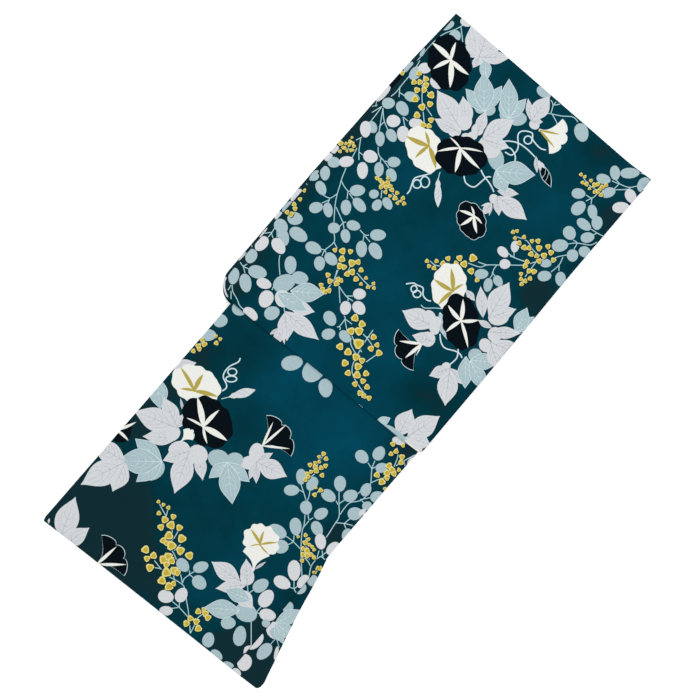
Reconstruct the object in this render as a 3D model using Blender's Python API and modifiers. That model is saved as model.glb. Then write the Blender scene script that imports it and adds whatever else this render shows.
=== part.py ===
"""Cotton yukata robe, folded lengthwise and then in half, lying flat.

The strip is folded along the centre back seam and both side seams, the left
sleeve is turned back over it, the right sleeve lies under it, and the hem half
is folded below. Layers that nothing shows share one solid, stepped at its edges.

Frame: +X runs across the strip to its side seam, +Y up to the shoulder fold and
+Z up. The origin is on the surface below, in the middle of the footprint.
Inside the script a place is given by two lengths on the strip: "across", from
the cuff corner at the shoulder, and "down", from the shoulder fold.
"""

import math
from collections import namedtuple

import bmesh
import bpy

Edge = namedtuple("Edge", "down across")
FoldLine = namedtuple("FoldLine", "across down")
Row = namedtuple("Row", "part value")
Layer = namedtuple("Layer", "left right end")

# The cloth: each wall stands for one thickness of cotton with the air beside it.
GAP = 0.0003
SLEEVE_WALL = 0.0010
BODY_WALL = 0.0012
HIDDEN_LAYER = 0.0011

# The cut: widths and lengths as sewn.
PANEL_LEFT = 0.0240
SIDE_SEAM_AT_SHOULDER = 0.3280
SIDE_SEAM_AT_FOLD = 0.3333
EDGE_ROLL = 0.0015
BACK_FLANGE = 0.0018
FRONT_FLANGE = 0.0008
SLEEVE_LENGTH = 0.4690
SLEEVE_CORNER = 0.0275
COLLAR_LENGTH = 0.0950
COLLAR_WIDTH = 0.0580

# Outline of the left sleeve. The under layer shows past the upper one at the cuff.
CUFF_UPPER = [
    Edge(0.000, 0.0000), Edge(0.190, -0.0009), Edge(0.300, -0.0016),
    Edge(0.400, -0.0024), Edge(0.469, -0.0024),
]
CUFF_UNDER = [
    Edge(0.000, -0.0020), Edge(0.050, -0.0045), Edge(0.095, -0.0064),
    Edge(0.200, -0.0073), Edge(0.290, -0.0078), Edge(0.370, -0.0064), Edge(0.469, -0.0059),
]
ARMHOLE = [
    Edge(0.000, 0.3274), Edge(0.060, 0.3282), Edge(0.160, 0.3292), Edge(0.240, 0.3312),
    Edge(0.340, 0.3331), Edge(0.469, 0.3350),
]
RIGHT_ARMHOLE = [Edge(0.000, 0.3256), Edge(0.230, 0.3272), Edge(0.469, 0.3289)]
SLEEVE_HEM = [
    FoldLine(0.000, 0.4690), FoldLine(0.060, 0.4689), FoldLine(0.100, 0.4672),
    FoldLine(0.150, 0.4639), FoldLine(0.200, 0.4626), FoldLine(0.260, 0.4608),
    FoldLine(0.300, 0.4596), FoldLine(0.331, 0.4574),
]

# The crosswise fold at the lower end, and the edge that flares out beside the seam.
CROSS_FOLD = [
    FoldLine(0.024, 0.8408), FoldLine(0.095, 0.8368), FoldLine(0.264, 0.8290),
    FoldLine(0.345, 0.8258), FoldLine(0.376, 0.8240),
]
FLARE_START = 0.6346
FLARE_EDGE = [
    Edge(0.6346, 0.3320), Edge(0.6660, 0.3403), Edge(0.7110, 0.3501),
    Edge(0.7610, 0.3629), Edge(0.8115, 0.3766),
]
FOLD_CORNER = 0.0030

# How far each hidden layer is set back at the sides and at the shoulder end.
HIDDEN_LAYERS = [
    Layer(left=0.0010, right=0.0000, end=0.0020),
    Layer(left=0.0032, right=0.0016, end=0.0070),
    Layer(left=0.0004, right=0.0030, end=0.0035),
    Layer(left=0.0022, right=0.0008, end=0.0090),
]
HEM_SETBACK = 0.0120
SHOULDER_SETBACK = 0.0020

# Heights through the stack, worked out from the walls.
MIDDLE = BODY_WALL + GAP + len(HIDDEN_LAYERS) * HIDDEN_LAYER + GAP / 2
PANEL_RADIUS = MIDDLE - BODY_WALL / 2
HIDDEN_OUTER = MIDDLE - BODY_WALL - GAP
SLEEVE_PAIR = 2 * SLEEVE_WALL + GAP
SLOT = SLEEVE_PAIR + GAP
RIGHT_SLEEVE_MIDDLE = MIDDLE + GAP / 2 + SLEEVE_PAIR / 2
LEFT_SLEEVE_MIDDLE = 2 * MIDDLE + SLOT + GAP + SLEEVE_PAIR / 2

# The body comes down behind the sleeves, and the sleeves hang down past its edge.
RAMP_START = 0.4700
RAMP_LENGTH = 0.0520
DROOP_START = PANEL_LEFT - 0.0030
LEFT_SLEEVE_DROP = 0.0092
RIGHT_SLEEVE_DROP = 0.0054

# Rows along the robe, by distance from the shoulder, and turns round a fold.
UPPER_ROWS = (
    0.075, 0.160, 0.260, 0.360, 0.440, 0.470, 0.478, 0.487, 0.496, 0.505, 0.514,
    0.522, 0.580, 0.6346, 0.650, 0.666, 0.688, 0.711, 0.736, 0.761, 0.780, 0.800,
)
LOWER_ROWS = tuple(down for down in reversed(UPPER_ROWS) if down < 0.47 or down > 0.55)
FOLD_TURNS = 12
SLEEVE_TURNS = 6
ROLL_TURNS = (90, 60, 30)
NOSE = (1.0, 0.13, 0.13, 1.0)

CENTRE_ACROSS = (min(e.across for e in CUFF_UNDER) + max(e.across for e in FLARE_EDGE)) / 2
CENTRE_DOWN = CROSS_FOLD[0].down / 2


def smooth(table, at):
    """Value at a place in a table of two columns, on a smooth curve through its rows."""
    last = len(table) - 2
    i = min(max(sum(row[0] <= at for row in table) - 1, 0), last)
    (x0, y0), (x1, y1) = table[i], table[i + 1]
    chord = (y1 - y0) / (x1 - x0)
    before, after = table[max(i - 1, 0)], table[min(i + 2, last + 1)]
    slope0 = (y1 - before[1]) / (x1 - before[0]) if i else chord
    slope1 = (after[1] - y0) / (after[0] - x0) if i < last else chord
    t = min(max((at - x0) / (x1 - x0), 0.0), 1.0)
    bend = t * (1 - t) * ((1 - t) * (slope0 - chord) - t * (slope1 - chord))
    return y0 + (y1 - y0) * t + bend * (x1 - x0)


def ease(t):
    t = min(max(t, 0.0), 1.0)
    return t * t * (3 - 2 * t)


def place(across, down, height):
    return (across - CENTRE_ACROSS, CENTRE_DOWN - down, height)


def side_seam(down):
    return SIDE_SEAM_AT_SHOULDER + (SIDE_SEAM_AT_FOLD - SIDE_SEAM_AT_SHOULDER) * down / 0.83


def lift(down):
    """How far the right sleeve lifts the upper half above it."""
    return SLOT * (1 - ease((down - RAMP_START) / RAMP_LENGTH))


def droop(across, drop):
    """How far a sleeve has sunk where it hangs past the body's edge."""
    reach = DROOP_START - min(e.across for e in CUFF_UNDER)
    t = max((DROOP_START - across) / reach, 0.0)
    return drop * t * t * (3 - t) / 2


def folded_rows(start, hem, first=0.0):
    """Rows of a layer from the shoulder, round the crosswise fold and back to the hem."""
    rows = [Row("upper", start)] if start is not None else []
    rows += [Row("upper", down) for down in UPPER_ROWS if down >= first]
    rows += [Row("turn", math.pi * n / FOLD_TURNS) for n in range(FOLD_TURNS + 1)]
    rows += [Row("lower", down) for down in LOWER_ROWS if down >= first]
    return rows + ([Row("lower", hem)] if hem is not None else [])


def row_down(row):
    """Distance down the strip at which a row's side edges are read."""
    return CROSS_FOLD[-1].down if row.part == "turn" else row.value


def corner_pull(row):
    """The outer corners of the crosswise fold are drawn in as it turns."""
    return FOLD_CORNER * math.sin(row.value) if row.part == "turn" else 0.0


def on_fold(row, across, radius):
    """A point of a layer that runs at one radius from the middle of the stack."""
    if row.part == "upper":
        return place(across, row.value, MIDDLE + radius + lift(row.value))
    if row.part == "lower":
        return place(across, row.value, MIDDLE - radius)
    centre = smooth(CROSS_FOLD, across) - MIDDLE
    turned = centre + radius * math.sin(row.value)
    return place(across, turned, MIDDLE + radius * math.cos(row.value))


def outer_edge(row):
    """Right edge of the folded strip: the side seam, then the flare beside it."""
    down = row_down(row)
    if down <= FLARE_START:
        return side_seam(down)
    return smooth(FLARE_EDGE, down) - corner_pull(row)


def finish_object(name, bm, material):
    mesh = bpy.data.meshes.new(name)
    bm.to_mesh(mesh)
    bm.free()
    made = bpy.data.objects.new(name, mesh)
    mesh.materials.append(material)
    bpy.data.collections[ROBE].objects.link(made)
    return made


def sheet(name, points, wall, material):
    """One wall of cloth: a grid of points down its middle, thickened both ways."""
    bm = bmesh.new()
    grid = [[bm.verts.new(point) for point in row] for row in points]
    for upper, lower in zip(grid, grid[1:]):
        for i in range(len(upper) - 1):
            bm.faces.new((upper[i], upper[i + 1], lower[i + 1], lower[i]))
    made = finish_object(name, bm, material)
    shell = made.modifiers.new("cloth_wall", "SOLIDIFY")
    shell.thickness = wall
    shell.offset = 0.0
    made.data.shade_smooth()
    made.data.set_sharp_from_angle(angle=math.radians(40))
    return made


def block(name, columns, rows, levels, point, material):
    """The closed skin of a stack of layers, counted across, along and through it."""
    bm = bmesh.new()
    corners = {}

    def corner(i, j, k):
        if (i, j, k) not in corners:
            corners[i, j, k] = bm.verts.new(point(i, j, k))
        return corners[i, j, k]

    sides = (
        (columns, rows, levels, lambda a, b, c: corner(a, b, c)),
        (columns, levels, rows, lambda a, b, c: corner(a, c, b)),
        (rows, levels, columns, lambda a, b, c: corner(c, a, b)),
    )
    for width, length, depth, at in sides:
        for end in (0, depth):
            for a in range(width):
                for b in range(length):
                    bm.faces.new((at(a, b, end), at(a + 1, b, end),
                                  at(a + 1, b + 1, end), at(a, b + 1, end)))
    bmesh.ops.recalc_face_normals(bm, faces=bm.faces)
    made = finish_object(name, bm, material)
    made.data.shade_smooth()
    made.data.set_sharp_from_angle(angle=math.radians(30))
    return made


def layer_levels(layers, thickness):
    """Depth and set-backs at each level: every layer has a rounded nose at its edge."""
    levels = []
    for n, layer in enumerate(layers):
        for step, nose in enumerate(NOSE[:-1]):
            beside = layers[n - 1] if step == 0 and n else layer
            levels.append((n * thickness + thickness * step / 3,
                           Layer(*(max(pair) + nose * thickness / 2
                                   for pair in zip(layer, beside)))))
    last = layers[-1]
    levels.append((len(layers) * thickness,
                   Layer(*(value + thickness / 2 for value in last))))
    return levels


def sleeve(name, middle, upper_cuff, under_cuff, armhole, shoulder, drop, material):
    """One length of cloth folded at the shoulder, its two layers meeting at the hem."""
    radius = (SLEEVE_WALL + GAP) / 2
    turn_centre = shoulder + radius + SLEEVE_WALL / 2
    arc = [SLEEVE_CORNER * (1 - math.cos(math.radians(turn))) for turn in range(0, 91, 15)]
    heights = [*arc, 0.060, 0.100, 0.150, 0.200, 0.250, 0.300, 0.350, 0.400, 0.440]
    rows = [Row("upper", SLEEVE_LENGTH - height) for height in heights]
    rows += [Row("turn", math.pi * n / SLEEVE_TURNS) for n in range(SLEEVE_TURNS + 1)]
    rows += [Row("under", SLEEVE_LENGTH - height) for height in reversed(heights)]
    overhang = [n / 80 for n in range(8)]
    steps = [*overhang, *(0.1 + 0.9 * n / 6 for n in range(7))]
    points = []
    for row in rows:
        turning = row.part == "turn"
        down = shoulder if turning else row.value
        under = math.sin(row.value / 2) ** 2 if turning else float(row.part == "under")
        cuff = smooth(upper_cuff, down) * (1 - under) + smooth(under_cuff, down) * under
        from_arc = max(SLEEVE_CORNER - (SLEEVE_LENGTH - down), 0.0)
        cuff += SLEEVE_CORNER - math.sqrt(SLEEVE_CORNER ** 2 - from_arc ** 2)
        line = []
        for step in steps:
            across = cuff + (smooth(armhole, down) - cuff) * step
            sunk = droop(across, drop)
            if turning:
                line.append(place(across, turn_centre - radius * math.sin(row.value),
                                  middle + radius * math.cos(row.value) - sunk))
            else:
                hemmed = down * smooth(SLEEVE_HEM, across) / SLEEVE_LENGTH
                side = radius if row.part == "upper" else -radius
                line.append(place(across, hemmed, middle + side - sunk))
        points.append(line)
    return sheet(name, points, SLEEVE_WALL, material)


def left_sleeve(material):
    return sleeve("sleeve_left", LEFT_SLEEVE_MIDDLE, CUFF_UPPER, CUFF_UNDER, ARMHOLE,
                  0.0, LEFT_SLEEVE_DROP, material)


def right_sleeve(material):
    """It lies under the upper half, a little inside the left one on every side."""
    inset = 0.0030
    cuff = [Edge(e.down, e.across + inset) for e in CUFF_UPPER]
    under = [Edge(e.down, e.across + inset) for e in CUFF_UNDER]
    return sleeve("sleeve_right", RIGHT_SLEEVE_MIDDLE, under, cuff, RIGHT_ARMHOLE, 0.0040,
                  RIGHT_SLEEVE_DROP, material)


def rolled_edge(flange):
    """How far out and how deep the cloth lies where it rolls down over an edge."""
    turns = [math.radians(turn) for turn in ROLL_TURNS]
    arc = [(EDGE_ROLL * math.sin(turn), EDGE_ROLL * (1 - math.cos(turn))) for turn in turns]
    return [(EDGE_ROLL, EDGE_ROLL + flange), *arc]


def left_back(material):
    """The back panel: over the top, round the crosswise fold and along the underside.

    Its left edge rolls down to the centre back seam, and its right edge is the side seam.
    """
    points = []
    for row in folded_rows(SHOULDER_SETBACK, HEM_SETBACK):
        left = PANEL_LEFT + corner_pull(row) / 2 + BODY_WALL / 2 + EDGE_ROLL
        right = side_seam(row_down(row)) - GAP / 2
        line = [(left - out, PANEL_RADIUS - deep) for out, deep in rolled_edge(BACK_FLANGE)]
        line += [(left + (right - left) * step / 7, PANEL_RADIUS) for step in range(8)]
        points.append([on_fold(row, across, radius) for across, radius in line])
    return sheet("body_left_back", points, BODY_WALL, material)


def left_front(material):
    """The strip of the front beyond the side seam, rolled over the outer edge."""
    points = []
    for row in folded_rows(None, None, first=FLARE_START + 0.001):
        seam = side_seam(row_down(row)) + GAP / 2
        right = outer_edge(row) - BODY_WALL / 2 - EDGE_ROLL
        line = [(seam + (right - seam) * step / 2, PANEL_RADIUS) for step in range(3)]
        line += [(right + out, PANEL_RADIUS - deep)
                 for out, deep in reversed(rolled_edge(FRONT_FLANGE))]
        points.append([on_fold(row, across, radius) for across, radius in line])
    return sheet("body_left_front", points, BODY_WALL, material)


def hidden_layers(material):
    """Right half, overlaps and inner front: one solid that shows as layers at its edges."""
    levels = layer_levels(HIDDEN_LAYERS, HIDDEN_LAYER)
    rows = folded_rows(SHOULDER_SETBACK, HEM_SETBACK)
    notch = PANEL_LEFT + COLLAR_LENGTH
    middle = [notch + GAP, notch + 0.001, 0.200, 0.270, 0.318]
    last_row = len(rows) - 1
    last_column = len(middle) + 3

    def point(i, j, k):
        depth, setback = levels[k]
        row = rows[j]
        left = PANEL_LEFT + corner_pull(row) / 2 + BODY_WALL + GAP
        right = outer_edge(row) - GAP
        if row_down(row) > FLARE_START:
            right -= BODY_WALL
        across = [left + setback.left, left + 0.008, notch, *middle,
                  right - setback.right][i]
        if j == 0:
            past_collar = SHOULDER_SETBACK if i > 3 else COLLAR_WIDTH
            row = Row("upper", past_collar + setback.end)
        elif j == last_row:
            row = Row("lower", HEM_SETBACK + setback.end)
        return on_fold(row, across, HIDDEN_OUTER - depth)

    return block("folded_layers", last_column, last_row, len(levels) - 1, point, material)


def collar(material):
    """The doubled neck band, folded at the centre back and laid in at the shoulder."""
    thickness = len(HIDDEN_LAYERS) * HIDDEN_LAYER / 2
    folds = [Layer(0.0004, 0.0, 0.0), Layer(0.0016, 0.0, 0.0018)]
    levels = layer_levels(folds, thickness)
    lengths = (0.0, 0.4, 0.8, 1.0)
    start = SHOULDER_SETBACK + 0.0015
    end = COLLAR_WIDTH - GAP

    def point(i, j, k):
        depth, setback = levels[k]
        near = PANEL_LEFT + BODY_WALL + GAP + setback.left
        across = near + (PANEL_LEFT + COLLAR_LENGTH - GAP - near) * lengths[i]
        down = start + setback.end if j == 0 else (0.030, end)[j - 1]
        return on_fold(Row("upper", down), across, HIDDEN_OUTER - depth)

    return block("collar", len(lengths) - 1, 2, len(levels) - 1, point, material)


def cloth(name, red, green, blue):
    """Matt printed cotton in one of its colours."""
    material = bpy.data.materials.new(name)
    material.use_nodes = True
    surface = material.node_tree.nodes["Principled BSDF"]
    surface.inputs["Base Color"].default_value = (red, green, blue, 1.0)
    surface.inputs["Roughness"].default_value = 0.85
    surface.inputs["Metallic"].default_value = 0.0
    return material


ROBE = "cotton_yukata_robe"


def main():
    for old in list(bpy.data.objects):
        bpy.data.objects.remove(old)
    bpy.context.scene.collection.children.link(bpy.data.collections.new(ROBE))
    left_sleeve(cloth("teal_cotton_sleeve", 0.006, 0.052, 0.075))
    right_sleeve(cloth("teal_cotton_right_sleeve", 0.006, 0.048, 0.070))
    left_back(cloth("teal_cotton_back", 0.006, 0.050, 0.072))
    left_front(cloth("teal_cotton_front", 0.006, 0.046, 0.066))
    hidden_layers(cloth("teal_cotton_layers", 0.005, 0.042, 0.060))
    collar(cloth("teal_cotton_collar", 0.005, 0.044, 0.064))


main()
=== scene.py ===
# %% [markdown]
# # A cotton yukata, folded flat
# A yukata is the light summer kimono: eight straight lengths of narrow cotton, sewn with flat
# seams, so that it folds back into a neat strip. Here the left sleeve lies turned back on top,
# the left back panel shows below it, and the hem half is folded underneath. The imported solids
# fix every place and size, and each printed cloth is laid over the solid that it stands for.

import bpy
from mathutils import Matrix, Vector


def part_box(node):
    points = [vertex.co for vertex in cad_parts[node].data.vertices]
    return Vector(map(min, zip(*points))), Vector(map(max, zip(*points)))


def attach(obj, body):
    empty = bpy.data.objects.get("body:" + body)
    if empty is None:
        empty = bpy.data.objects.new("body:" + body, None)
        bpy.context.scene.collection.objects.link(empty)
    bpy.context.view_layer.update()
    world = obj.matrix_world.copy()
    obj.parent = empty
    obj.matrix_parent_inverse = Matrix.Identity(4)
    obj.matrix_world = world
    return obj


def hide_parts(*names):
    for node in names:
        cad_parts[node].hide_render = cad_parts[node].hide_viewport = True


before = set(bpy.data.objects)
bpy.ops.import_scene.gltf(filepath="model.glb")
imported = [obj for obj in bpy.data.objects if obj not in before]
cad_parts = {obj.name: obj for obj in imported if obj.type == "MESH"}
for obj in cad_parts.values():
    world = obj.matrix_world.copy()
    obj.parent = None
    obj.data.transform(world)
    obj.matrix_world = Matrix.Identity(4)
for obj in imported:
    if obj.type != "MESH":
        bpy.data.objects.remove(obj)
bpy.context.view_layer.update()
print("solids:", sorted(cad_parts))

# %%
import math

import bmesh
import bpy
from mathutils import Vector
from mathutils.geometry import delaunay_2d_cdt

MM = 0.001

# %% [markdown]
# ## Two sets of lengths
# A tailor thinks in distances on the cloth: how far across the strip, and how far down from the
# shoulder fold. The helpers below turn those into places in the frame. The print's places are
# given on a square page that lies turned against the grain, so a second small function turns page
# places into cloth places. One corner, one turn and one scale fix the page on the cloth.

# %% Cloth lengths to frame places
PANEL_LEFT = 24.0 * MM
body_low, body_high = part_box("body_left_back")
sleeve_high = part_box("sleeve_left")[1]
CORNER_X = body_low.x - PANEL_LEFT
CORNER_Y = sleeve_high.y


def cloth_place(across, down, height):
    return Vector((CORNER_X + across, CORNER_Y - down, height))


PAGE_POINT = 1.282 * MM
PAGE_TURN = math.radians(41.0)
PAGE_CORNER = (457.5, 13.5)


def page_to_cloth(x, y):
    dx, dy = (x - PAGE_CORNER[0]) * PAGE_POINT, (y - PAGE_CORNER[1]) * PAGE_POINT
    return (dx * math.cos(PAGE_TURN) + dy * math.sin(PAGE_TURN),
            dy * math.cos(PAGE_TURN) - dx * math.sin(PAGE_TURN))


print("shoulder corner at", round(CORNER_X, 4), round(CORNER_Y, 4))

# %% [markdown]
# ## The camera, floor and light
# A flat garment is shown from straight above, so the camera looks down and is rolled on its own
# axis until the strip runs from upper right to lower left. Its distance follows from the lens and
# the width that the frame takes in.

# %% Objects, colours and shader nodes
WHITE = (1.0, 1.0, 1.0, 1.0)


def add_object(name, data):
    made = bpy.data.objects.new(name, data)
    bpy.context.scene.collection.objects.link(made)
    return made


def srgb(code):
    """A hex colour as the linear values that shaders use."""
    values = [int(code[n:n + 2], 16) / 255 for n in (0, 2, 4)]
    return tuple(v / 12.92 if v <= 0.04045 else ((v + 0.055) / 1.055) ** 2.4
                 for v in values) + (1.0,)


def set_inputs(owner, node, inputs):
    """Fills a node's inputs: each is a value, or the output of another node."""
    for key, value in inputs.items():
        if isinstance(value, bpy.types.NodeSocket):
            owner.node_tree.links.new(value, node.inputs[key])
        else:
            node.inputs[key].default_value = value


def add_node(owner, kind, inputs, **settings):
    """Adds one shader node: settings are its own properties."""
    node = owner.node_tree.nodes.new(kind)
    for name, value in settings.items():
        setattr(node, name, value)
    set_inputs(owner, node, inputs)
    return node


def new_material(name, inputs):
    """A material whose surface has these inputs, and the node of that surface."""
    made = bpy.data.materials.new(name)
    made.use_nodes = True
    surface = made.node_tree.nodes["Principled BSDF"]
    set_inputs(made, surface, inputs)
    return made, surface


# %% Camera
PAGE_WIDTH = 700
LENS = 100.0
SENSOR = 36.0
view_width = PAGE_WIDTH * PAGE_POINT
view_height = view_width * LENS / SENSOR + sleeve_high.z
aim = cloth_place(*page_to_cloth(PAGE_WIDTH / 2, PAGE_WIDTH / 2), 0.0)

camera_data = bpy.data.cameras.new("straight_down")
camera_data.lens = LENS
camera_data.sensor_width = SENSOR
camera = add_object("straight_down", camera_data)
camera.location = (aim.x, aim.y, view_height)
camera.rotation_euler = (0.0, 0.0, PAGE_TURN)
bpy.context.scene.camera = camera
print("camera height", round(view_height, 3))


# %% Floor and lights
FLOOR_REACH = 6.0
FLOOR_SINK = 0.0002
ROOM_GLOW = 0.93


def pale_floor():
    bm = bmesh.new()
    bmesh.ops.create_grid(bm, x_segments=1, y_segments=1, size=FLOOR_REACH)
    mesh = bpy.data.meshes.new("floor")
    bm.to_mesh(mesh)
    bm.free()
    floor = add_object("floor", mesh)
    floor.location.z = -FLOOR_SINK
    mesh.materials.append(new_material("matt_white_board", {
        "Base Color": (0.93, 0.93, 0.93, 1.0), "Roughness": 0.95, "Specular IOR Level": 0.1,
        "Emission Color": WHITE, "Emission Strength": 0.4})[0])


def soft_light(name, place, size, watts):
    data = bpy.data.lights.new(name, "AREA")
    data.shape = "DISK"
    data.size = size
    data.energy = watts
    lamp = add_object(name, data)
    lamp.location = place
    lamp.rotation_euler = (-Vector(place)).to_track_quat("-Z", "Y").to_euler()


pale_floor()
world = bpy.data.worlds.new("white_room")
bpy.context.scene.world = world
world.use_nodes = True
set_inputs(world, world.node_tree.nodes["Background"], {"Color": WHITE, "Strength": ROOM_GLOW})
soft_light("window_light", (-1.1, 1.5, 1.9), 1.4, 19.0)
soft_light("fill_light", (1.4, -1.2, 2.2), 1.8, 10.0)
bpy.context.scene.view_settings.view_transform = "Standard"

# %% [markdown]
# ## The shape of the stack
# Every cloth follows the same few rules: the upper half is lifted by the sleeve that lies under
# it, both halves turn round one crosswise fold, and whatever hangs past the body's edge sinks.
# The rules are written once, and each cloth asks them for a place.

# %% Rules for the stack
SLEEVE_LAYER = 1.0 * MM
HIDDEN_LAYER = 1.1 * MM
GAP = 0.3 * MM
FOLD_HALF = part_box("body_left_front")[1].z / 2
SLEEVE_LIFT = body_high.z - 2 * FOLD_HALF
RAMP_START = 470.0 * MM
RAMP_LENGTH = 52.0 * MM
EDGE_ROLL = 2.1 * MM
SEAM_AT_SHOULDER = 328.0 * MM
SEAM_WIDENS = 5.3 * MM
SEAM_LENGTH = 830 * MM
CROSS_FOLD = [(24, 840.8), (95, 836.8), (264, 829.0), (345, 825.8), (376, 824.0)]
FLARE_START = 634.6
FLARE_EDGE = [(634.6, 332.0), (666.0, 340.3), (711.0, 350.1), (761.0, 362.9), (811.5, 376.6)]


def smooth(table, at):
    """Value at a place in a table of two columns in millimetres, on a smooth curve."""
    at = at / MM
    last = len(table) - 2
    i = min(max(sum(row[0] <= at for row in table) - 1, 0), last)
    (x0, y0), (x1, y1) = table[i], table[i + 1]
    chord = (y1 - y0) / (x1 - x0)
    before, after = table[max(i - 1, 0)], table[min(i + 2, last + 1)]
    slope0 = (y1 - before[1]) / (x1 - before[0]) if i else chord
    slope1 = (after[1] - y0) / (after[0] - x0) if i < last else chord
    t = min(max((at - x0) / (x1 - x0), 0.0), 1.0)
    bend = t * (1 - t) * ((1 - t) * (slope0 - chord) - t * (slope1 - chord))
    return (y0 + (y1 - y0) * t + bend * (x1 - x0)) * MM


def smooth_mm(table, at):
    """The same curve, for a place and a value in millimetres."""
    return smooth(table, at * MM) / MM


def rule_mm(rule, at):
    """One of the rules below, for a place and a value in millimetres."""
    return rule(at * MM) / MM


def ease(t):
    t = min(max(t, 0.0), 1.0)
    return t * t * (3 - 2 * t)


def lift(down):
    """How far the sleeve underneath lifts the upper half."""
    return SLEEVE_LIFT * (1 - ease((down - RAMP_START) / RAMP_LENGTH))


def side_seam(down):
    return SEAM_AT_SHOULDER + SEAM_WIDENS * down / SEAM_LENGTH


def outer_edge(down):
    """Right edge of the strip: the side seam, then the flare of the front beside it."""
    return side_seam(down) if down <= FLARE_START * MM else smooth(FLARE_EDGE, down)


def straight_end(across):
    """How far down a cloth lies flat before it turns round the crosswise fold."""
    return smooth(CROSS_FOLD, across) - FOLD_HALF


def on_body(across, along, deep):
    """A place under the outer face of the body, along its cloth from the shoulder."""
    radius = FOLD_HALF - deep
    past = along - straight_end(across)
    if past <= 0:
        return cloth_place(across, along, FOLD_HALF + radius + lift(along))
    if past < math.pi * FOLD_HALF:
        angle = past / FOLD_HALF
        return cloth_place(across, along - past + radius * math.sin(angle),
                           FOLD_HALF + radius * math.cos(angle))
    return cloth_place(across, along - past - (past - math.pi * FOLD_HALF), FOLD_HALF - radius)


def down_of(across, along):
    """Distance from the shoulder of a place along the folded cloth."""
    past = along - straight_end(across)
    return along if past <= 0 else along - past - max(past - math.pi * FOLD_HALF, 0.0)


print("fold half height", round(FOLD_HALF, 5), "sleeve lift", round(SLEEVE_LIFT, 5))

# %% [markdown]
# ## Drawing the print
# The print is flat areas of ink: a ground, then stems, leaves, berries and flowers. Each motif
# below is a small formula that gives closed outlines on the page, together with the ink that fills
# them. Later outlines cover earlier ones. Outlines keep their edges sharp at any distance.

# %% Inks
INKS = ["ground", "lavender", "sage", "stem", "pale_line", "cream", "mustard", "husk", "ochre",
        "black", "vein", "shade", "wrong_side"]
INK = {name: number for number, name in enumerate(INKS)}


# %% Lines that every motif is made of
def heading(turn):
    """Unit vector of a heading on the page: 0 points right and 90 points down."""
    return math.cos(math.radians(turn)), math.sin(math.radians(turn))


def curve(points, steps):
    """A smooth line through a few places: each stretch looks at its neighbours for its slope."""
    line = []
    last = len(points) - 1
    for n in range(last):
        a, b = points[max(n - 1, 0)], points[n]
        c, d = points[n + 1], points[min(n + 2, last)]
        for step in range(steps):
            t = step / steps
            line.append(tuple(b[k] + 0.5 * t * (c[k] - a[k] + t * (
                2 * a[k] - 5 * b[k] + 4 * c[k] - d[k] + t * (3 * (b[k] - c[k]) + d[k] - a[k])))
                for k in (0, 1)))
    return line + [tuple(points[-1])]


def strip(line, wide, taper=0.0):
    """A thin band along a line of places, narrowing towards its end."""
    left, right = [], []
    for n, (x, y) in enumerate(line):
        x0, y0 = line[max(n - 1, 0)]
        x1, y1 = line[min(n + 1, len(line) - 1)]
        length = math.hypot(x1 - x0, y1 - y0) or 1.0
        half = wide / 2 * (1 - taper * n / (len(line) - 1))
        left.append((x - (y1 - y0) / length * half, y + (x1 - x0) / length * half))
        right.append((x + (y1 - y0) / length * half, y - (x1 - x0) / length * half))
    return left + right[::-1]


STEM_WIDE = 0.9
TENDRIL_WIDE = 1.3


def vine(*points, ink="stem", wide=STEM_WIDE):
    """A stem or a tendril through a few places."""
    steps = 5 if len(points) > 2 else 1
    return [(ink, strip(curve(points, steps), wide))]


def tendril(*points):
    return vine(*points, ink="pale_line", wide=TENDRIL_WIDE)


def ring(x, y, half_wide, half_tall):
    """One loop of a tendril, in two halves, because each outline has to stay simple."""
    return [("pale_line", strip([(x + half_wide * heading(turn)[0], y + half_tall * heading(turn)[1])
                                 for turn in range(first, first + 191, 19)], TENDRIL_WIDE))
            for first in (0, 180)]


# %% [markdown]
# A leaf is a fan of lobes. One lobe is a curve that swells from a round base to a pointed tip, and
# a short lobe with a blunt end makes the ear beside the stem. Lavender leaves carry grey veins,
# and sage ones carry pale veins and a pale rim.

# %% Lobes, leaves and oval leaflets
LOBE_STEPS = 12
LOBE_BELLY = 0.49
TIP_SLIM = 0.3
OVAL_BASE = 0.16
EAR_SHARE = 0.85
EAR_LONG = 1.1
RIM = 0.5
VEINED_FROM = 12
RIB_WIDE, RIB_TAPER = 0.6, 0.6
VEIN_WIDE, VEIN_TAPER = 0.45, 0.5
VEIN_ROOTS = (2, 4, 6)
VEIN_BENDS = ((1, 0.42), (4, 0.8))


def oval(ink, x, y, long, wide, turn=0, points=16):
    """A leaflet: an egg shape, a little wider towards its base."""
    ux, uy = heading(turn)
    outline = []
    for n in range(points):
        along = long / 2 * math.cos(2 * math.pi * n / points)
        half = wide / 2 * math.sin(2 * math.pi * n / points) * (1 - OVAL_BASE * along / long)
        outline.append((x + ux * along - uy * half, y + uy * along + ux * half))
    return [(ink, outline)]


def lobe(x, y, tip_x, tip_y, share, grow=0.0, belly=LOBE_BELLY):
    """Outline of one pointed lobe, and the line of its rib: share is its width by its length."""
    dx, dy = tip_x - x, tip_y - y
    long = math.hypot(dx, dy)
    ux, uy = dx / long, dy / long
    power = math.log(0.5) / math.log(belly)
    left, right, rib = [], [], []
    for n in range(LOBE_STEPS + 1):
        t = n / LOBE_STEPS
        swell = math.sin(math.pi * t ** power) ** (1.0 + TIP_SLIM * t)
        half = share * long / 2 * swell + grow
        along = long * t + grow * (2 * t - 1)
        cx, cy = x + ux * along, y + uy * along
        rib.append((cx, cy))
        left.append((cx + uy * half, cy - ux * half))
        right.append((cx - uy * half, cy + ux * half))
    left[-1:] = []
    return left + [(x + ux * (long + grow), y + uy * (long + grow))] + right[-2::-1], rib


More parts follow.
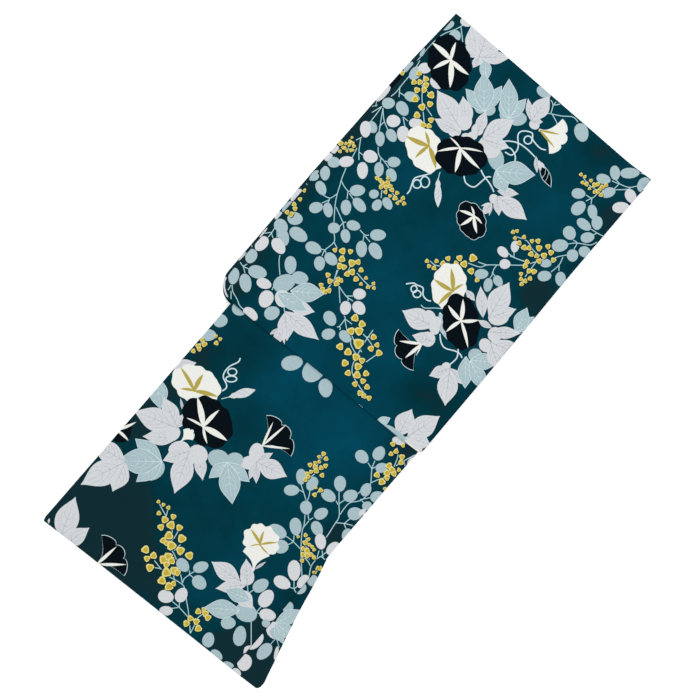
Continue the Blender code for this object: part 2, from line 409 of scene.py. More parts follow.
def veins(ink, x, y, tip_x, tip_y, share):
    """The rib of a lobe, and the veins that leave it and bend forward along the margin."""
    outline, rib = lobe(x, y, tip_x, tip_y, share)
    drawn = [(ink, strip(rib[:-2], RIB_WIDE, RIB_TAPER))]
    for n in VEIN_ROOTS:
        for side in (1, -1):
            margin = outline if side > 0 else outline[:1] + outline[:0:-1]
            vein = [rib[n]]
            for step, share_out in VEIN_BENDS:
                at, edge = rib[n + step], margin[n + step]
                vein.append(tuple(at[k] + (edge[k] - at[k]) * share_out for k in (0, 1)))
            drawn.append((ink, strip(vein, VEIN_WIDE, VEIN_TAPER)))
    return drawn


def leaf(ink, x, y, *tips):
    """Lobes from one base: each tip is a place and its width by its length. Wide ones are ears."""
    drawn, lobes = [], []
    for tip_x, tip_y, share in tips:
        if share < EAR_SHARE:
            lobes.append((x, y, tip_x, tip_y, share))
        else:
            long = math.hypot(tip_x - x, tip_y - y)
            turn = math.degrees(math.atan2(tip_y - y, tip_x - x))
            drawn += oval(ink, (x + tip_x) / 2, (y + tip_y) / 2, long * EAR_LONG, long * share,
                          turn)
    for each in lobes:
        if ink == "sage":
            drawn.append(("pale_line", lobe(*each, grow=RIM)[0]))
        drawn.append((ink, lobe(*each)[0]))
        if math.dist(each[:2], each[2:4]) > VEINED_FROM:
            drawn += veins("pale_line" if ink == "sage" else "vein", *each)
    return drawn


# %% [markdown]
# An open flower is one round sheet of petal with a star of up to five rays from its throat. A ray
# is a slim lens, and the rim dips where a ray meets it. From the side the same flower is a trumpet: a
# tube that opens to a scalloped rim. Before it opens it is a bud, furled to a point.

# %% Flowers, trumpets and buds
RAY_FAT = 0.2
RAY_FOOT = 0.35
RAY_BOW = 0.7
RAY_STEPS = 8
THROAT = 2.6
RIM_DIP, DIP_WIDE = 0.035, 6
RUFFLES, RUFFLE_START = 10, 18
TUBE = 0.6
TUBE_FOOT, TUBE_SPREAD, TUBE_FLARE = 0.07, 0.93, 2.6
MOUTH_BULGE, SCALLOP = 0.29, 0.11
TRUMPET_RIM = 0.6
BUD_BELLY = 0.56
TWIST_WIDE = 0.4
SEPAL_REACH, SEPAL_SPREAD, SEPAL_SHARE = 0.34, 0.28, 0.34


def ray(ink, x, y, tip_x, tip_y, fat, bow):
    """A slim lens from a place to its tip, bent sideways by its bow."""
    dx, dy = tip_x - x, tip_y - y
    length = math.hypot(dx, dy)
    left, right = [], []
    for n in range(RAY_STEPS + 1):
        t = n / RAY_STEPS
        half = max(fat * length / 2 * math.sin(math.pi * t ** 0.8) ** 0.8, RAY_FOOT * (1 - t))
        side = bow * 4 * t * (1 - t)
        cx, cy = x + dx * t - dy / length * side, y + dy * t + dx / length * side
        left.append((cx + dy / length * half, cy - dx / length * half))
        right.append((cx - dy / length * half, cy + dx / length * half))
    return (ink, left + right[-2::-1])


def flower(ink, x, y, wide, tall, turn, star, *tips, edge=0.0, ruffle=0.03):
    """A round flower: its star's throat and the tips of its rays are places on the page."""
    ray_ink = "ochre" if ink == "cream" else "cream"
    ux, uy = heading(turn)
    rays = [math.degrees(math.atan2(tip[1] - y, tip[0] - x)) for tip in tips]

    def rim(angle, grow=0.0):
        rx, ry = heading(angle)
        nearest = min(abs((angle - each + 180) % 360 - 180) for each in rays)
        wave = ruffle * math.cos(math.radians(RUFFLES * (nearest - RUFFLE_START)))
        reach = 1 - RIM_DIP * math.exp(-(nearest / DIP_WIDE) ** 2) + wave
        reach /= math.hypot((rx * ux + ry * uy) / (wide / 2), (ry * ux - rx * uy) / (tall / 2))
        return x + rx * (reach + grow), y + ry * (reach + grow)

    drawn = [("pale_line", [rim(angle, edge) for angle in range(0, 360, 6)])] if edge else []
    drawn.append((ink, [rim(angle) for angle in range(0, 360, 5)]))
    for number, tip in enumerate(tips):
        fat = tip[2] if len(tip) > 2 else RAY_FAT
        drawn.append(ray(ray_ink, *star, tip[0], tip[1], fat, (-1) ** number * RAY_BOW))
    return drawn + oval(ray_ink, *star, THROAT, THROAT, points=8)


def trumpet(ink, x, y, turn, long, wide, *ribs):
    """A flower from the side: a tube from its foot, a scalloped mouth, and ribs inside it."""
    rib_ink = "ochre" if ink == "cream" else "cream"
    ux, uy = heading(turn)

    def own(along, side):
        return x + ux * along - uy * side, y + uy * along + ux * side

    def outline(grow):
        flank = [(long * TUBE * t, wide / 2 * (TUBE_FOOT + TUBE_SPREAD * t ** TUBE_FLARE))
                 for t in (n / 8 for n in range(9))]
        rim = [(long * (TUBE + MOUTH_BULGE * math.cos(math.pi * s / 2)
                        + SCALLOP * abs(math.cos(math.pi * 1.5 * s)) ** 0.5), s * wide / 2)
               for s in (1 - n / 12 for n in range(1, 24))]
        whole = flank + rim + [(along, -side) for along, side in reversed(flank)]
        return [own(along + grow * (2 * along / long - 1), side * (1 + 2 * grow / wide))
                for along, side in whole]

    drawn = [("pale_line", outline(TRUMPET_RIM)), (ink, outline(0.0))]
    return drawn + [ray(rib_ink, x, y, tip_x, tip_y, fat, 0.0) for tip_x, tip_y, fat in ribs]


def bud(ink, x0, y0, x1, y1, share):
    """A furled bud: sepals hug its foot, and fine lines show the twist of its petals."""
    outer, rib = lobe(x0, y0, x1, y1, share, 0.0, BUD_BELLY)
    drawn = [("pale_line", lobe(x0, y0, x1, y1, share, RIM, BUD_BELLY)[0]), (ink, outer)]
    line_ink = "vein" if ink != "black" else "pale_line"
    for n in (4, 6):
        twist = [outer[n], rib[n + 2], outer[2 * LOBE_STEPS - n - 3]]
        drawn.append((line_ink, strip(twist, TWIST_WIDE)))
    dx, dy = x1 - x0, y1 - y0
    for side in (-SEPAL_SPREAD, SEPAL_SPREAD):
        sepal = (x0 + dx * SEPAL_REACH - dy * side * share,
                 y0 + dy * SEPAL_REACH + dx * side * share)
        drawn.append(("lavender", lobe(x0, y0, *sepal, SEPAL_SHARE)[0]))
    return drawn


# %% [markdown]
# Mustard berries stand close together along a thin stem. Each is a notched round with a deep
# yellow heart in a paler husk, turned by its place, and a sliver of painted shadow lies
# below it, to the lower right.

# %% Berries
BERRY_TURN = 137.5
BERRY_ROUND, BERRY_NOTCH = 0.95, 0.15
NOTCH_TURN, NOTCH_START = 108, 50
# ink, shift right and down, growth, and share of the husk's reach; the shade layer is a painted
# shadow
BERRY_LAYERS = [("shade", 0.4, 0.6, 0.3, 1.0), ("husk", 0.0, 0.0, 0.0, 1.0),
                ("mustard", 0.2, 0.2, 0.0, 0.66)]


def berry(x, y, size):
    turn = BERRY_TURN * (x + 2 * y)
    spokes = []
    for n in range(10):
        notch = BERRY_NOTCH * math.cos(math.radians(NOTCH_TURN * n + NOTCH_START))
        spokes.append((*heading(36 * n + turn), size / 2 * (BERRY_ROUND + notch)))
    return [(ink, [(x + right + ux * (reach + grow) * share, y + down + uy * (reach + grow) * share)
                   for ux, uy, reach in spokes]) for ink, right, down, grow, share in BERRY_LAYERS]


def drawn_all(maker, rows, *ink):
    return [shape for row in rows for shape in maker(*ink, *row)]


def bouquet(stems, sage, pale, berries, ears, leaves, trumpets, buds, flowers, more, tendrils,
            rings):
    """Every motif of a bouquet: each kind covers the kinds before it."""
    return (drawn_all(vine, stems) + drawn_all(oval, sage, "sage")
            + drawn_all(oval, pale, "lavender") + drawn_all(berry, berries)
            + drawn_all(oval, ears) + drawn_all(leaf, leaves) + drawn_all(trumpet, trumpets)
            + drawn_all(bud, buds) + drawn_all(flower, flowers) + more
            + drawn_all(tendril, tendrils) + drawn_all(ring, rings))


# %% [markdown]
# ## The bouquets
# The pattern is a usual one for summer cotton: morning glories with lobed leaves, sprays of round
# leaflets and yellow berries. Each table places one kind of motif, in page units. The comments on
# the sleeve's tables name the columns, and the body's tables have the same ones. Rows further down
# are drawn over rows above them.

# %% The sleeve's stems and leaflets
# the places that each stem runs through
SLEEVE_STEMS = [
    [(463, 25), (456, 29), (443, 34), (430, 45), (419, 58), (411, 62)],
    [(461, 27), (462, 35), (463, 45)], [(420, 60), (414, 70), (404, 82), (396, 92), (391, 96)],
    [(400, 86), (399, 97)], [(399, 92), (405, 96)], [(382, 106), (377, 113), (370, 122)],
    [(382, 106), (372, 112)], [(383, 108), (381, 120), (379, 132)],
    [(383, 108), (384, 120), (388, 130)], [(384, 122), (379, 127)], [(403, 117), (405, 127)],
    [(403, 117), (408, 121)], [(378, 147), (379, 155), (384, 161), (389, 168)],
    [(381, 158), (380, 164)], [(385, 161), (388, 162)], [(362, 137), (356, 140)],
    [(361, 137), (359, 150), (359, 160)], [(359, 152), (363, 155)], [(357, 148), (352, 158)],
    [(346, 168), (342, 178), (340, 185), (337, 195), (335, 206), (334, 222)],
    [(341, 180), (344, 186), (348, 191), (350, 191)], [(348, 191), (347, 199)],
    [(349, 193), (354, 200)], [(337, 194), (330, 198), (323, 195)], [(330, 198), (328, 203)],
    [(329, 200), (322, 203)], [(336, 207), (341, 218), (343, 222), (346, 222)],
    [(343, 222), (344, 229)], [(343, 223), (339, 227)], [(360, 230), (365, 235), (369, 235)],
    [(364, 235), (363, 241)], [(365, 236), (370, 242)],
    [(334, 233), (334, 242), (325, 250), (322, 256)], [(325, 250), (326, 253)],
    [(321, 249), (325, 250)], [(334, 242), (337, 248)], [(382, 190), (381, 198)],
    [(382, 180), (390, 190), (398, 200), (404, 203)], [(280, 255), (279, 262), (280, 275)],
    [(276, 225), (272, 232), (268, 237)], [(271, 232), (273, 238)], [(272, 232), (264, 233)],
    [(277, 229), (277, 237)], [(240, 262), (243, 266), (249, 269)], [(243, 266), (245, 273)],
    [(243, 266), (247, 264)], [(232, 285), (233, 292), (237, 299), (240, 306), (246, 311)],
    [(231, 291), (231, 299)], [(231, 285), (228, 290)], [(274, 285), (272, 290)],
    [(278, 305), (281, 304)], [(284, 307), (285, 314)], [(339, 286), (340, 303)],
    [(339, 286), (346, 296), (353, 301)], [(346, 296), (353, 296)], [(348, 297), (348, 301)],
    [(344, 316), (345, 319), (339, 327)], [(345, 319), (352, 324)], [(345, 320), (347, 331)],
    [(337, 327), (340, 327), (340, 330)], [(351, 338), (351, 345), (356, 354)],
    [(363, 334), (367, 338), (372, 345)], [(366, 337), (370, 337)],
    [(357, 273), (365, 282), (370, 286), (374, 285)], [(337, 270), (334, 280), (328, 288)],
    [(517, 237), (527, 241), (533, 250), (540, 256)], [(510, 256), (523, 261), (530, 263)],
    [(510, 265), (525, 265), (535, 262), (540, 262)], [(536, 262), (530, 270), (525, 277)],
    [(508, 253), (515, 258), (524, 261)], [(514, 251), (514, 257)],
    [(583, 177), (589, 185), (600, 192)], [(616, 180), (619, 184), (612, 181)],
    [(619, 184), (628, 188), (637, 187)], [(615, 190), (627, 190), (630, 188)],
    [(619, 184), (613, 190)], [(640, 174), (648, 177)], [(586, 195), (592, 198), (597, 194)],
    [(592, 198), (591, 204)], [(592, 198), (586, 201)], [(591, 229), (597, 233), (603, 236)],
    [(597, 233), (593, 235)], [(568, 244), (577, 243), (590, 245), (597, 242)],
    [(573, 240), (577, 243), (574, 249)], [(551, 261), (557, 257), (567, 255)],
    [(563, 257), (559, 265), (551, 272)], [(559, 265), (559, 271)],
    [(430, 261), (435, 265), (440, 266)],
    [(468, 263), (480, 267), (487, 265), (500, 265), (510, 265)], [(478, 262), (487, 265)],
    [(497, 265), (494, 269), (492, 275), (490, 278)], [(492, 272), (495, 276)],
    [(551, 100), (553, 105), (551, 113)], [(556, 102), (554, 105), (560, 104)],
    [(546, 113), (552, 114), (562, 116), (573, 117), (578, 122)],
    [(552, 114), (556, 121), (558, 126)], [(424, 75), (422, 95), (423, 110), (425, 129)],
    [(420, 83), (430, 95)], [(423, 103), (432, 116)], [(345, 251), (341, 262), (333, 283)],
    [(352, 263), (346, 275)], [(373, 330), (360, 350), (352, 372), (366, 396)],
    [(350, 331), (356, 345), (362, 352)], [(379, 353), (366, 362)], [(351, 140), (347, 152)],
    [(421, 305), (425, 308), (435, 308), (446, 309)], [(440, 172), (438, 180)],
]
# x, y, long, wide, turn of a leaflet
SLEEVE_SAGE_OVALS = [
    (388.5, 103, 13, 11.5, 0), (402.5, 108.5, 16, 11.5, 58), (391.5, 135.5, 14, 10, 60),
    (380, 139, 15, 9.5, 90), (372, 127, 13, 10, 60), (379, 169.5, 14.5, 9.5, 90),
    (394, 162, 13, 10.5, 0), (391.5, 175, 14, 10, 65), (334, 162, 13, 11, 10),
    (325, 173, 15, 10, 90), (321, 188, 15.5, 10, 65), (314, 176, 10, 9, 0),
    (357.5, 190.5, 15.5, 11.5, -5), (316, 207.5, 14, 11, -15), (328, 210, 15, 9.5, 80),
    (346, 207.5, 15.5, 10.5, 90), (359.5, 205, 17, 10.5, 50), (374, 194, 10, 9, -15),
    (377, 205, 12, 9.5, -60), (387.5, 203.5, 13.5, 9, 60), (334, 228, 12, 11, 0),
    (353.5, 225.5, 14, 10, 15), (345.5, 236, 14, 9.5, 80), (378, 235, 16, 11.5, 0),
    (361.5, 249, 16.5, 11, 90), (375.5, 251, 18, 12, 60), (313.5, 248, 17, 12, 25),
    (331, 259, 15, 11, 45), (319.5, 263.5, 14.5, 11, 90), (295, 218.5, 15.5, 13, 10),
    (298.5, 234.5, 20, 13, 33), (281, 226, 16, 13, 50), (283.5, 237, 18, 11, 75),
    (251, 256, 15, 12, 110), (290.5, 265, 18, 12, 90), (257.5, 272, 19, 13, 15),
    (233.5, 276, 17, 11, 100), (245.5, 283, 19, 12, 80), (272, 313, 16, 13.5, -25),
    (615, 173, 15, 10, 85), (629.5, 173.5, 19, 11, 0),
    (603.5, 179, 14.5, 10, 15), (642.5, 186, 16, 12, 120), (608, 192.5, 15, 10.5, -15),
    (578.5, 193.5, 14, 10.5, 5), (578.5, 208, 16.5, 12.5, -42), (592.5, 212, 15, 9.5, 80),
    (597, 223, 14, 11, 90), (584, 224.5, 16.5, 10, 38), (569.5, 233, 14.5, 12.5, 60),
    (587.5, 237.5, 14, 10.5, -10), (560, 245.5, 16.5, 12.5, -8), (572.5, 255.5, 12.5, 11.5, 90),
    (585, 252, 13, 11, 30), (545.5, 263, 12, 9, 10), (544.5, 276, 14, 10.5, -8),
    (560.5, 279, 14.5, 10.5, 90), (481.5, 274, 14, 10, -5), (488, 285, 14, 9, 100),
    (498, 281, 12, 9, 60), (330, 318.5, 16, 12, 60), (328.5, 334, 14, 11, -15),
    (345, 336.5, 14, 10, 50), (412, 97, 16, 10, 20), (415.5, 73, 15.6, 11.3, 131),
    (455, 36, 12, 12, 60), (448, 25, 14, 8, 150), (422, 53, 9, 4, -50),
    (581.5, 132.5, 19, 14, 75), (544, 92, 16, 11, 35),
]
SLEEVE_PALE_OVALS = [
    (393.5, 121, 14, 12.5, 0), (365.5, 129, 17, 11, 90), (370.5, 156.5, 15, 12.5, 20),
    (362.5, 170.5, 17, 11, 90), (346.5, 161.5, 15, 11, -10), (278.5, 246, 18, 12, 55),
    (261.5, 243.5, 17, 12, 130), (264, 283.5, 15.5, 10.5, 20), (266, 299, 18, 14.5, 115),
    (250.5, 314, 17, 11, 40), (630, 197, 15, 10.5, 65), (620.5, 208, 17, 11, 0),
    (515, 246.5, 12, 8.5, 100), (503, 252, 13, 9, 45), (505, 264, 11, 10, 0),
    (359.5, 294, 13, 11, 0), (345.5, 308, 14, 11, 100), (359, 308, 15, 12, 50),
    (425, 68, 13, 11, 0), (436, 83, 14, 10, 50), (416, 123, 14, 10, 0), (403, 134, 16, 12, 90),
    (466, 22, 12, 9, 30), (466, 136, 9, 6, 0),
]

# %% The sleeve's berries
# x, y, size
SLEEVE_BERRIES = [
    (419, 73, 6), (426, 79, 6), (414, 82, 6), (420, 82, 6), (426, 85, 6.5), (417, 90, 6.5),
    (424, 90, 6), (431, 95, 7.5), (415, 99, 7.5), (430, 104, 6.5), (422, 107, 7.5),
    (417, 115, 7), (431, 120, 6), (423, 125, 7), (429, 126, 5.5),
    (427, 261, 4.5), (429, 266, 4.5), (436.5, 261, 4.5), (434, 268, 5), (443, 263.5, 6),
    (448, 258.5, 5.5), (456, 263, 5), (459.5, 258, 6.5), (464, 264, 7.5), (473, 258, 8.5),
    (471, 271, 7), (477, 280, 5),
    (513, 232, 4.5), (517, 231, 4), (515, 238, 4), (524, 237, 4.5), (519, 243, 5.5),
    (524, 247.5, 6), (529, 248, 5.5), (532, 241, 4.5), (531, 254, 6), (538, 241, 5.5),
    (539, 248, 6.5), (536.5, 256, 5), (539, 261, 6), (544, 255.5, 6.5), (548, 246.5, 5.5),
    (551, 252.5, 6), (553.5, 260, 5.5), (527, 262, 5.5), (525, 266, 5.5), (529, 271, 5.5),
    (534, 271.5, 6), (521, 274, 4.5), (521, 279, 4.5), (525, 281, 5), (521.5, 284, 4.5),
    (530, 278.5, 5),
    (581, 174.5, 4), (585, 176.5, 3.5), (582.5, 182.5, 4), (586.5, 184, 5), (591, 180.5, 4),
    (594.5, 185, 5.5), (589.5, 188.5, 3.5), (598, 184, 4.5), (602, 187, 5), (606, 185, 4.5),
    (594.5, 192, 4), (598, 191.5, 5), (600, 189, 4), (601, 195, 4.5),
    (352, 137, 3), (350, 141, 4), (352, 143, 5), (354, 146, 4), (349, 144, 5), (346, 143, 4),
    (343, 147, 4), (340, 151, 4), (345, 148, 4), (351, 150, 4), (347, 151, 3), (353, 150, 3),
    (340, 143, 6),
    (377, 178, 4.5), (380, 180, 4.5), (382, 182.5, 5), (381, 187, 5), (385, 184, 5),
    (388, 182, 5), (388, 178, 4), (386, 187, 5), (390, 186, 5), (392, 190, 5),
    (385.5, 192, 4.5), (390, 196, 4), (395, 198, 5.5), (397, 193, 4.5), (397.5, 203, 4),
    (403, 198, 4.5), (404, 203.5, 4.5), (401, 201, 3),
    (304, 190, 4.5), (300, 199, 4.5), (294, 204, 5), (295, 208.5, 5), (291, 214, 6),
    (287, 212, 5),
    (335, 250, 5), (342.5, 251, 7), (350.5, 251.5, 5.5), (342, 259, 7), (340, 266, 7),
    (344, 267, 6), (352, 263, 8), (358, 262, 6), (361, 270, 5.5), (347, 274, 6),
    (352, 272, 7), (356, 279, 6), (361, 284, 4), (366, 278, 4), (368, 287, 4.5),
    (373.5, 283.5, 4), (374, 288, 4), (328, 275, 5.5), (330, 281, 6), (338, 279, 5),
    (341, 280.5, 5), (336.5, 283.5, 6), (321, 285, 5), (322.5, 289, 5), (325, 292, 5),
    (329, 290.5, 5.5),
    (355, 318, 8), (362, 324, 7.5), (351, 331, 8), (359, 331, 9), (358.5, 343.5, 11),
    (340, 346.5, 7.5), (348, 352, 8), (373.5, 337, 6.5), (377, 345, 5.5), (371, 348.5, 6.5),
    (379, 353, 7), (356, 357, 8), (362, 360.5, 6.5), (345, 363, 7.5), (358, 366.5, 8),
    (348, 373, 6.5), (357, 375, 8), (366, 373.5, 6.5), (363, 381, 6), (355, 384, 6),
    (367, 387, 6), (360, 393, 6), (364, 396, 5.5), (369, 398, 5.5),
]

# %% The sleeve's leaves
# ink, base x, base y, then the place and share of each lobe's tip
SLEEVE_LEAVES = [
    ("sage", 486, 80, (485, 58, 0.5)),
    ("lavender", 479, 57, (477, 65, 1.1), (465, 46, 0.66), (471, 25, 0.6), (502, 40, 0.55),
     (490, 26, 0.5), (473, 68, 0.62), (510, 58, 0.44)),
    ("sage", 484, 111, (476, 105, 1.1), (495, 109, 1.0), (466, 89, 0.46), (502, 86, 0.4),
     (484, 73, 0.5)),
    ("sage", 509, 118, (501, 112, 1.1), (526, 119, 0.86), (501, 99, 0.56), (526, 99, 0.44),
     (509, 79, 0.44)),
    ("lavender", 531, 121, (538, 128, 1.0), (528, 98, 0.32), (543, 122, 0.6),
     (550, 96, 0.56)),
    ("lavender", 477, 135, (467, 137, 0.86), (478, 124, 1.1), (486, 110.5, 0.44)),
    ("lavender", 482, 139, (497, 155, 1.0), (510, 148, 0.48), (514.5, 119.5, 0.54)),
    ("lavender", 467, 128, (463, 96, 0.5)),
    ("lavender", 460, 128, (449, 133, 1.1), (470, 118, 0.95), (437, 90, 0.5)),
    ("lavender", 460, 133, (434, 118.5, 0.44)),
    ("lavender", 497, 191, (519, 194, 0.42)), ("lavender", 536, 156, (537, 173, 0.3)),
    ("sage", 496, 171, (506, 192, 0.66), (535, 175, 0.58)),
    ("lavender", 492, 203, (481, 206, 0.28), (489, 216, 0.24), (482, 215, 0.5)),
    ("lavender", 497, 196, (491, 202, 1.2), (499, 216, 0.46), (527, 220, 0.48)),
    ("lavender", 483, 318, (480.5, 286, 0.36)),
    ("lavender", 489, 317.5, (508, 317, 0.86), (516.5, 309, 0.5), (509.5, 282, 0.55)),
    ("lavender", 450, 368, (442, 366, 1.2), (429, 376, 0.56), (464, 385, 0.44),
     (445, 406, 0.54)),
    ("sage", 466, 357, (465, 388, 0.48)), ("sage", 470, 361, (486, 391, 0.42)),
    ("sage", 471, 360, (480, 351, 1.15), (497, 363, 0.6)),
    ("lavender", 489, 332, (501, 337, 1.15), (521, 333.5, 0.38)),
    ("lavender", 490, 342, (481, 349, 1.3), (500, 372, 0.5), (526, 357, 0.46)),
    ("sage", 516, 332, (534, 317, 0.5), (527, 308, 0.55)),
    ("sage", 440, 313, (447, 339, 0.34)),
    ("lavender", 434, 327, (402, 310.5, 0.6)),
    ("lavender", 433, 322, (441, 322, 1.4), (427, 311, 0.85), (436, 334, 0.85)),
    ("lavender", 434, 342, (421, 336, 1.05), (412, 335, 0.55)),
    ("lavender", 288, 305, (278, 292, 1.0), (315, 312, 0.52)),
    ("lavender", 280, 328, (269, 335, 0.3)), ("lavender", 283, 334, (284.5, 344.5, 0.26)),
    ("lavender", 282, 326, (275, 347, 0.44)), ("lavender", 285, 312, (287, 341, 0.58)),
    ("lavender", 284, 311, (319, 340, 0.39)),
    ("sage", 277, 293, (307, 311, 0.42)), ("sage", 291, 291, (324, 294, 0.56)),
    ("lavender", 466, 290, (475, 301, 0.5)), ("lavender", 492, 328, (477.5, 320, 0.4)),
    ("lavender", 398, 436, (412, 409, 0.68)), ("sage", 376, 424.5, (390, 418, 0.55)),
    ("lavender", 407, 437, (408, 449, 0.9), (431, 445, 0.7), (440, 416, 0.56)),
]
# ink, then as for a leaflet
SLEEVE_EARS = [("sage", 496, 159, 24, 16, 75), ("sage", 300, 278, 17, 13, 12),
               ("sage", 284.5, 283, 24, 17, -25)]
SLEEVE_HEM_LEAF = [("lavender", 414, 446, 20, 12, 41), ("sage", 396, 434, 29, 8, 37)]

# %% The sleeve's flowers, buds and tendrils
# ink, x and y of the foot, turn, long, wide, then each rib's tip and its width by its length
SLEEVE_TRUMPETS = [
    ("black", 422, 344, 160, 28, 43, (399, 341, 0.13), (405, 358, 0.16), (416, 356, 0.1)),
    ("cream", 539.5, 130, 21, 29, 36.5, (560, 134.6, 0.11), (555, 148, 0.1)),
]
# ink, x, y, wide, tall, turn, throat, then each ray's tip, and for some its width by its length
SLEEVE_FLOWERS = [
    ("cream", 425, 149.5, 49, 35, 61, (429, 146), (425, 131), (406, 136), (415, 158), (436, 169)),
    ("cream", 449, 286, 47, 35, 100, (453, 291), (451, 268), (434, 279), (438, 305),
     (464, 284)),
    ("black", 449.5, 63, 57, 43, 78, (451, 60), (432, 42), (456, 42), (469, 75), (450, 88),
     (433, 69)),
    ("black", 461, 156, 52, 40, 8, (460, 148), (449.5, 137, 0.13), (483, 152, 0.09),
     (480, 169, 0.14), (455, 172.5, 0.2), (437, 151.5, 0.12)),
    ("black", 461, 322, 57, 37, 80, (461, 321), (463, 299), (448, 305), (446, 332),
     (468, 348, 0.12), (479, 320)),
]
SLEEVE_SMALL_FLOWER = ("black", 471.5, 220.5, 39, 27, 68, (474, 216), (459, 210.5), (460, 225.5),
                       (477, 233.5), (482, 224), (471, 206))
SLEEVE_TENDRILS = [
    [(500, 142), (508, 141), (518, 143), (527, 149), (535, 157)],
    [(546, 150), (540, 148), (533, 140), (532, 133), (523, 131), (518, 135), (518, 148),
     (512, 155), (505, 152)],
    [(502, 148), (510, 148), (515, 155), (515, 161)],
    [(464, 176), (466, 183), (474, 187), (482, 181), (487, 177), (491, 177)],
    [(481, 170), (484, 176), (490, 184), (494, 192)],
    [(432, 173), (425, 175), (415, 178), (412, 184), (410, 190), (407, 194)],
    [(431, 301), (427, 300), (423, 295), (423, 288), (417, 285), (413, 283), (406, 284)],
    [(440, 334), (441, 342), (445, 348), (455, 351), (460, 354), (462, 358)],
    [(458, 349), (458, 353), (456, 359), (448, 366)],
]
# x, y, half width and half height
SLEEVE_RINGS = [(528, 140, 4, 4), (425, 182, 4.5, 5.5), (417, 184, 4.2, 4.2),
                (417, 294, 4, 3.5), (414, 289, 3, 3.5)]
# ink, foot, tip, width by length
SLEEVE_BUDS = [("lavender", 438, 179, 438, 207, 0.22), ("black", 539, 161, 551, 187, 0.3)]

SLEEVE_PRINT = bouquet(
    SLEEVE_STEMS, SLEEVE_SAGE_OVALS, SLEEVE_PALE_OVALS, SLEEVE_BERRIES, SLEEVE_EARS, SLEEVE_LEAVES,
    SLEEVE_TRUMPETS, SLEEVE_BUDS, SLEEVE_FLOWERS,
    drawn_all(oval, SLEEVE_HEM_LEAF) + flower(*SLEEVE_SMALL_FLOWER, edge=0.5),
    SLEEVE_TENDRILS, SLEEVE_RINGS)
print("sleeve print:", len(SLEEVE_PRINT), "outlines")

# %% The body's stems and leaflets
BODY_STEMS = [
    [(301, 485), (304, 494), (306, 501)], [(299, 490), (304, 493)],
    [(310, 490), (309, 496), (307, 502)],
    [(305, 515), (304, 525), (302, 532), (301, 545), (301, 560), (302, 577)],
    [(308, 514), (309, 520), (313, 518)], [(309, 521), (303, 528)],
    [(339, 492), (339, 504), (339, 517), (335, 524), (330, 532), (326, 538)],
    [(345, 500), (339, 504)], [(336, 501), (338, 505)],
    [(371, 483), (366, 496), (360, 501), (350, 503), (344, 509), (340, 515)],
    [(360, 500), (370, 498)], [(362, 501), (366, 506)],
    [(335, 523), (345, 524), (353, 526)], [(344, 524), (346, 529)], [(344, 524), (350, 519)],
    [(285, 536), (292, 541), (300, 549)], [(294, 536), (293, 542), (288, 545)],
    [(319, 551), (317, 558)], [(322, 551), (323, 558)],
    [(309, 577), (311, 567), (316, 560), (322, 556), (328, 551)],
    [(321, 557), (325, 560)], [(310, 566), (308, 562), (304, 558)],
    [(158, 502), (161, 508), (166, 517)], [(168, 508), (166, 516)], [(172, 530), (171, 540)],
    [(178, 531), (174, 538), (171, 541)], [(171, 550), (174, 555), (176, 560)],
    [(180, 545), (174, 551)], [(154, 561), (158, 566), (161, 570)], [(154, 568), (160, 569)],
    [(186, 590), (186, 600), (188, 612), (190, 634)], [(172, 602), (179, 608), (188, 618)],
    [(179, 602), (179, 608)], [(171, 609), (178, 608)],
    [(168, 577), (176, 581), (183, 586), (184, 590)], [(173, 575), (174, 580)],
    [(180, 574), (182, 583)], [(189, 571), (189, 575), (184, 579), (182, 584)],
    [(189, 575), (194, 572)], [(189, 575), (193, 578)],
    [(190, 634), (193, 628), (196, 622), (198, 618), (202, 615)], [(189, 619), (190, 634)],
    [(251, 620), (251, 632), (251, 647)], [(247, 584), (248, 594)], [(248, 594), (254, 590)],
    [(256, 613), (262, 606)], [(256, 613), (261, 615)], [(294, 581), (294, 589), (296, 593)],
    [(289, 587), (294, 589), (299, 585)], [(249, 654), (243, 657), (240, 664)],
    [(368, 463), (372, 469)], [(375, 461), (372, 469), (371, 483)], [(372, 469), (376, 467)],
    [(371, 483), (378, 480), (386, 477), (394, 468)], [(397, 448), (398, 456), (394, 467)],
    [(396, 466), (404, 461), (415, 455)], [(404, 461), (405, 466)], [(358, 494), (362, 490)],
    [(324, 455), (318, 463), (316, 472), (309, 479)], [(320, 490), (316, 494)],
    [(306, 537), (306, 548), (309, 560)], [(202, 340), (198, 351)], [(221, 399), (229, 397)],
]
BODY_SAGE_OVALS = [
    (208, 335, 16, 12, 0), (220, 320.5, 15, 13.5, 0), (292, 363, 22, 15, -10),
    (325.5, 388, 19, 14, 85), (301, 477, 16, 10, 90), (312, 484, 15, 11, 120),
    (291.5, 490.5, 15.5, 11, 0), (306, 508, 14, 12, 80), (321, 514, 15, 11, -30),
    (317, 529, 16, 11, 65), (295.5, 527, 18, 12, 85), (328.5, 496, 16, 11.5, 35),
    (340, 484, 16, 12, 90), (350.5, 496, 15, 12, -20), (355, 514, 15, 13, -10),
    (347, 535, 13, 10, 120), (277, 532, 20, 14, 25), (281, 547, 15, 14, 0),
    (182.5, 565.5, 15.5, 11.5, 50), (200.5, 567.5, 16, 11, -20), (199, 583, 16, 13, 45),
    (362, 457, 15, 12, 45), (379, 453.5, 15, 12, -60), (382, 468, 13, 10, -10),
    (366, 490, 14, 10.5, -65), (377, 497, 14, 11, -20), (367, 506, 10, 8.5, -30),
    (239.3, 308.5, 15, 14.5, 41), (260.5, 586, 17.5, 12.5, -33),
    (239.5, 636.5, 20.5, 13, -80), (208, 640.5, 15.5, 12, -75),
    (216, 656, 14, 10, 40), (228, 667, 13, 9, 20), (236, 673, 9, 9, 60),
    (228, 623.5, 15, 12.5, 0),
]
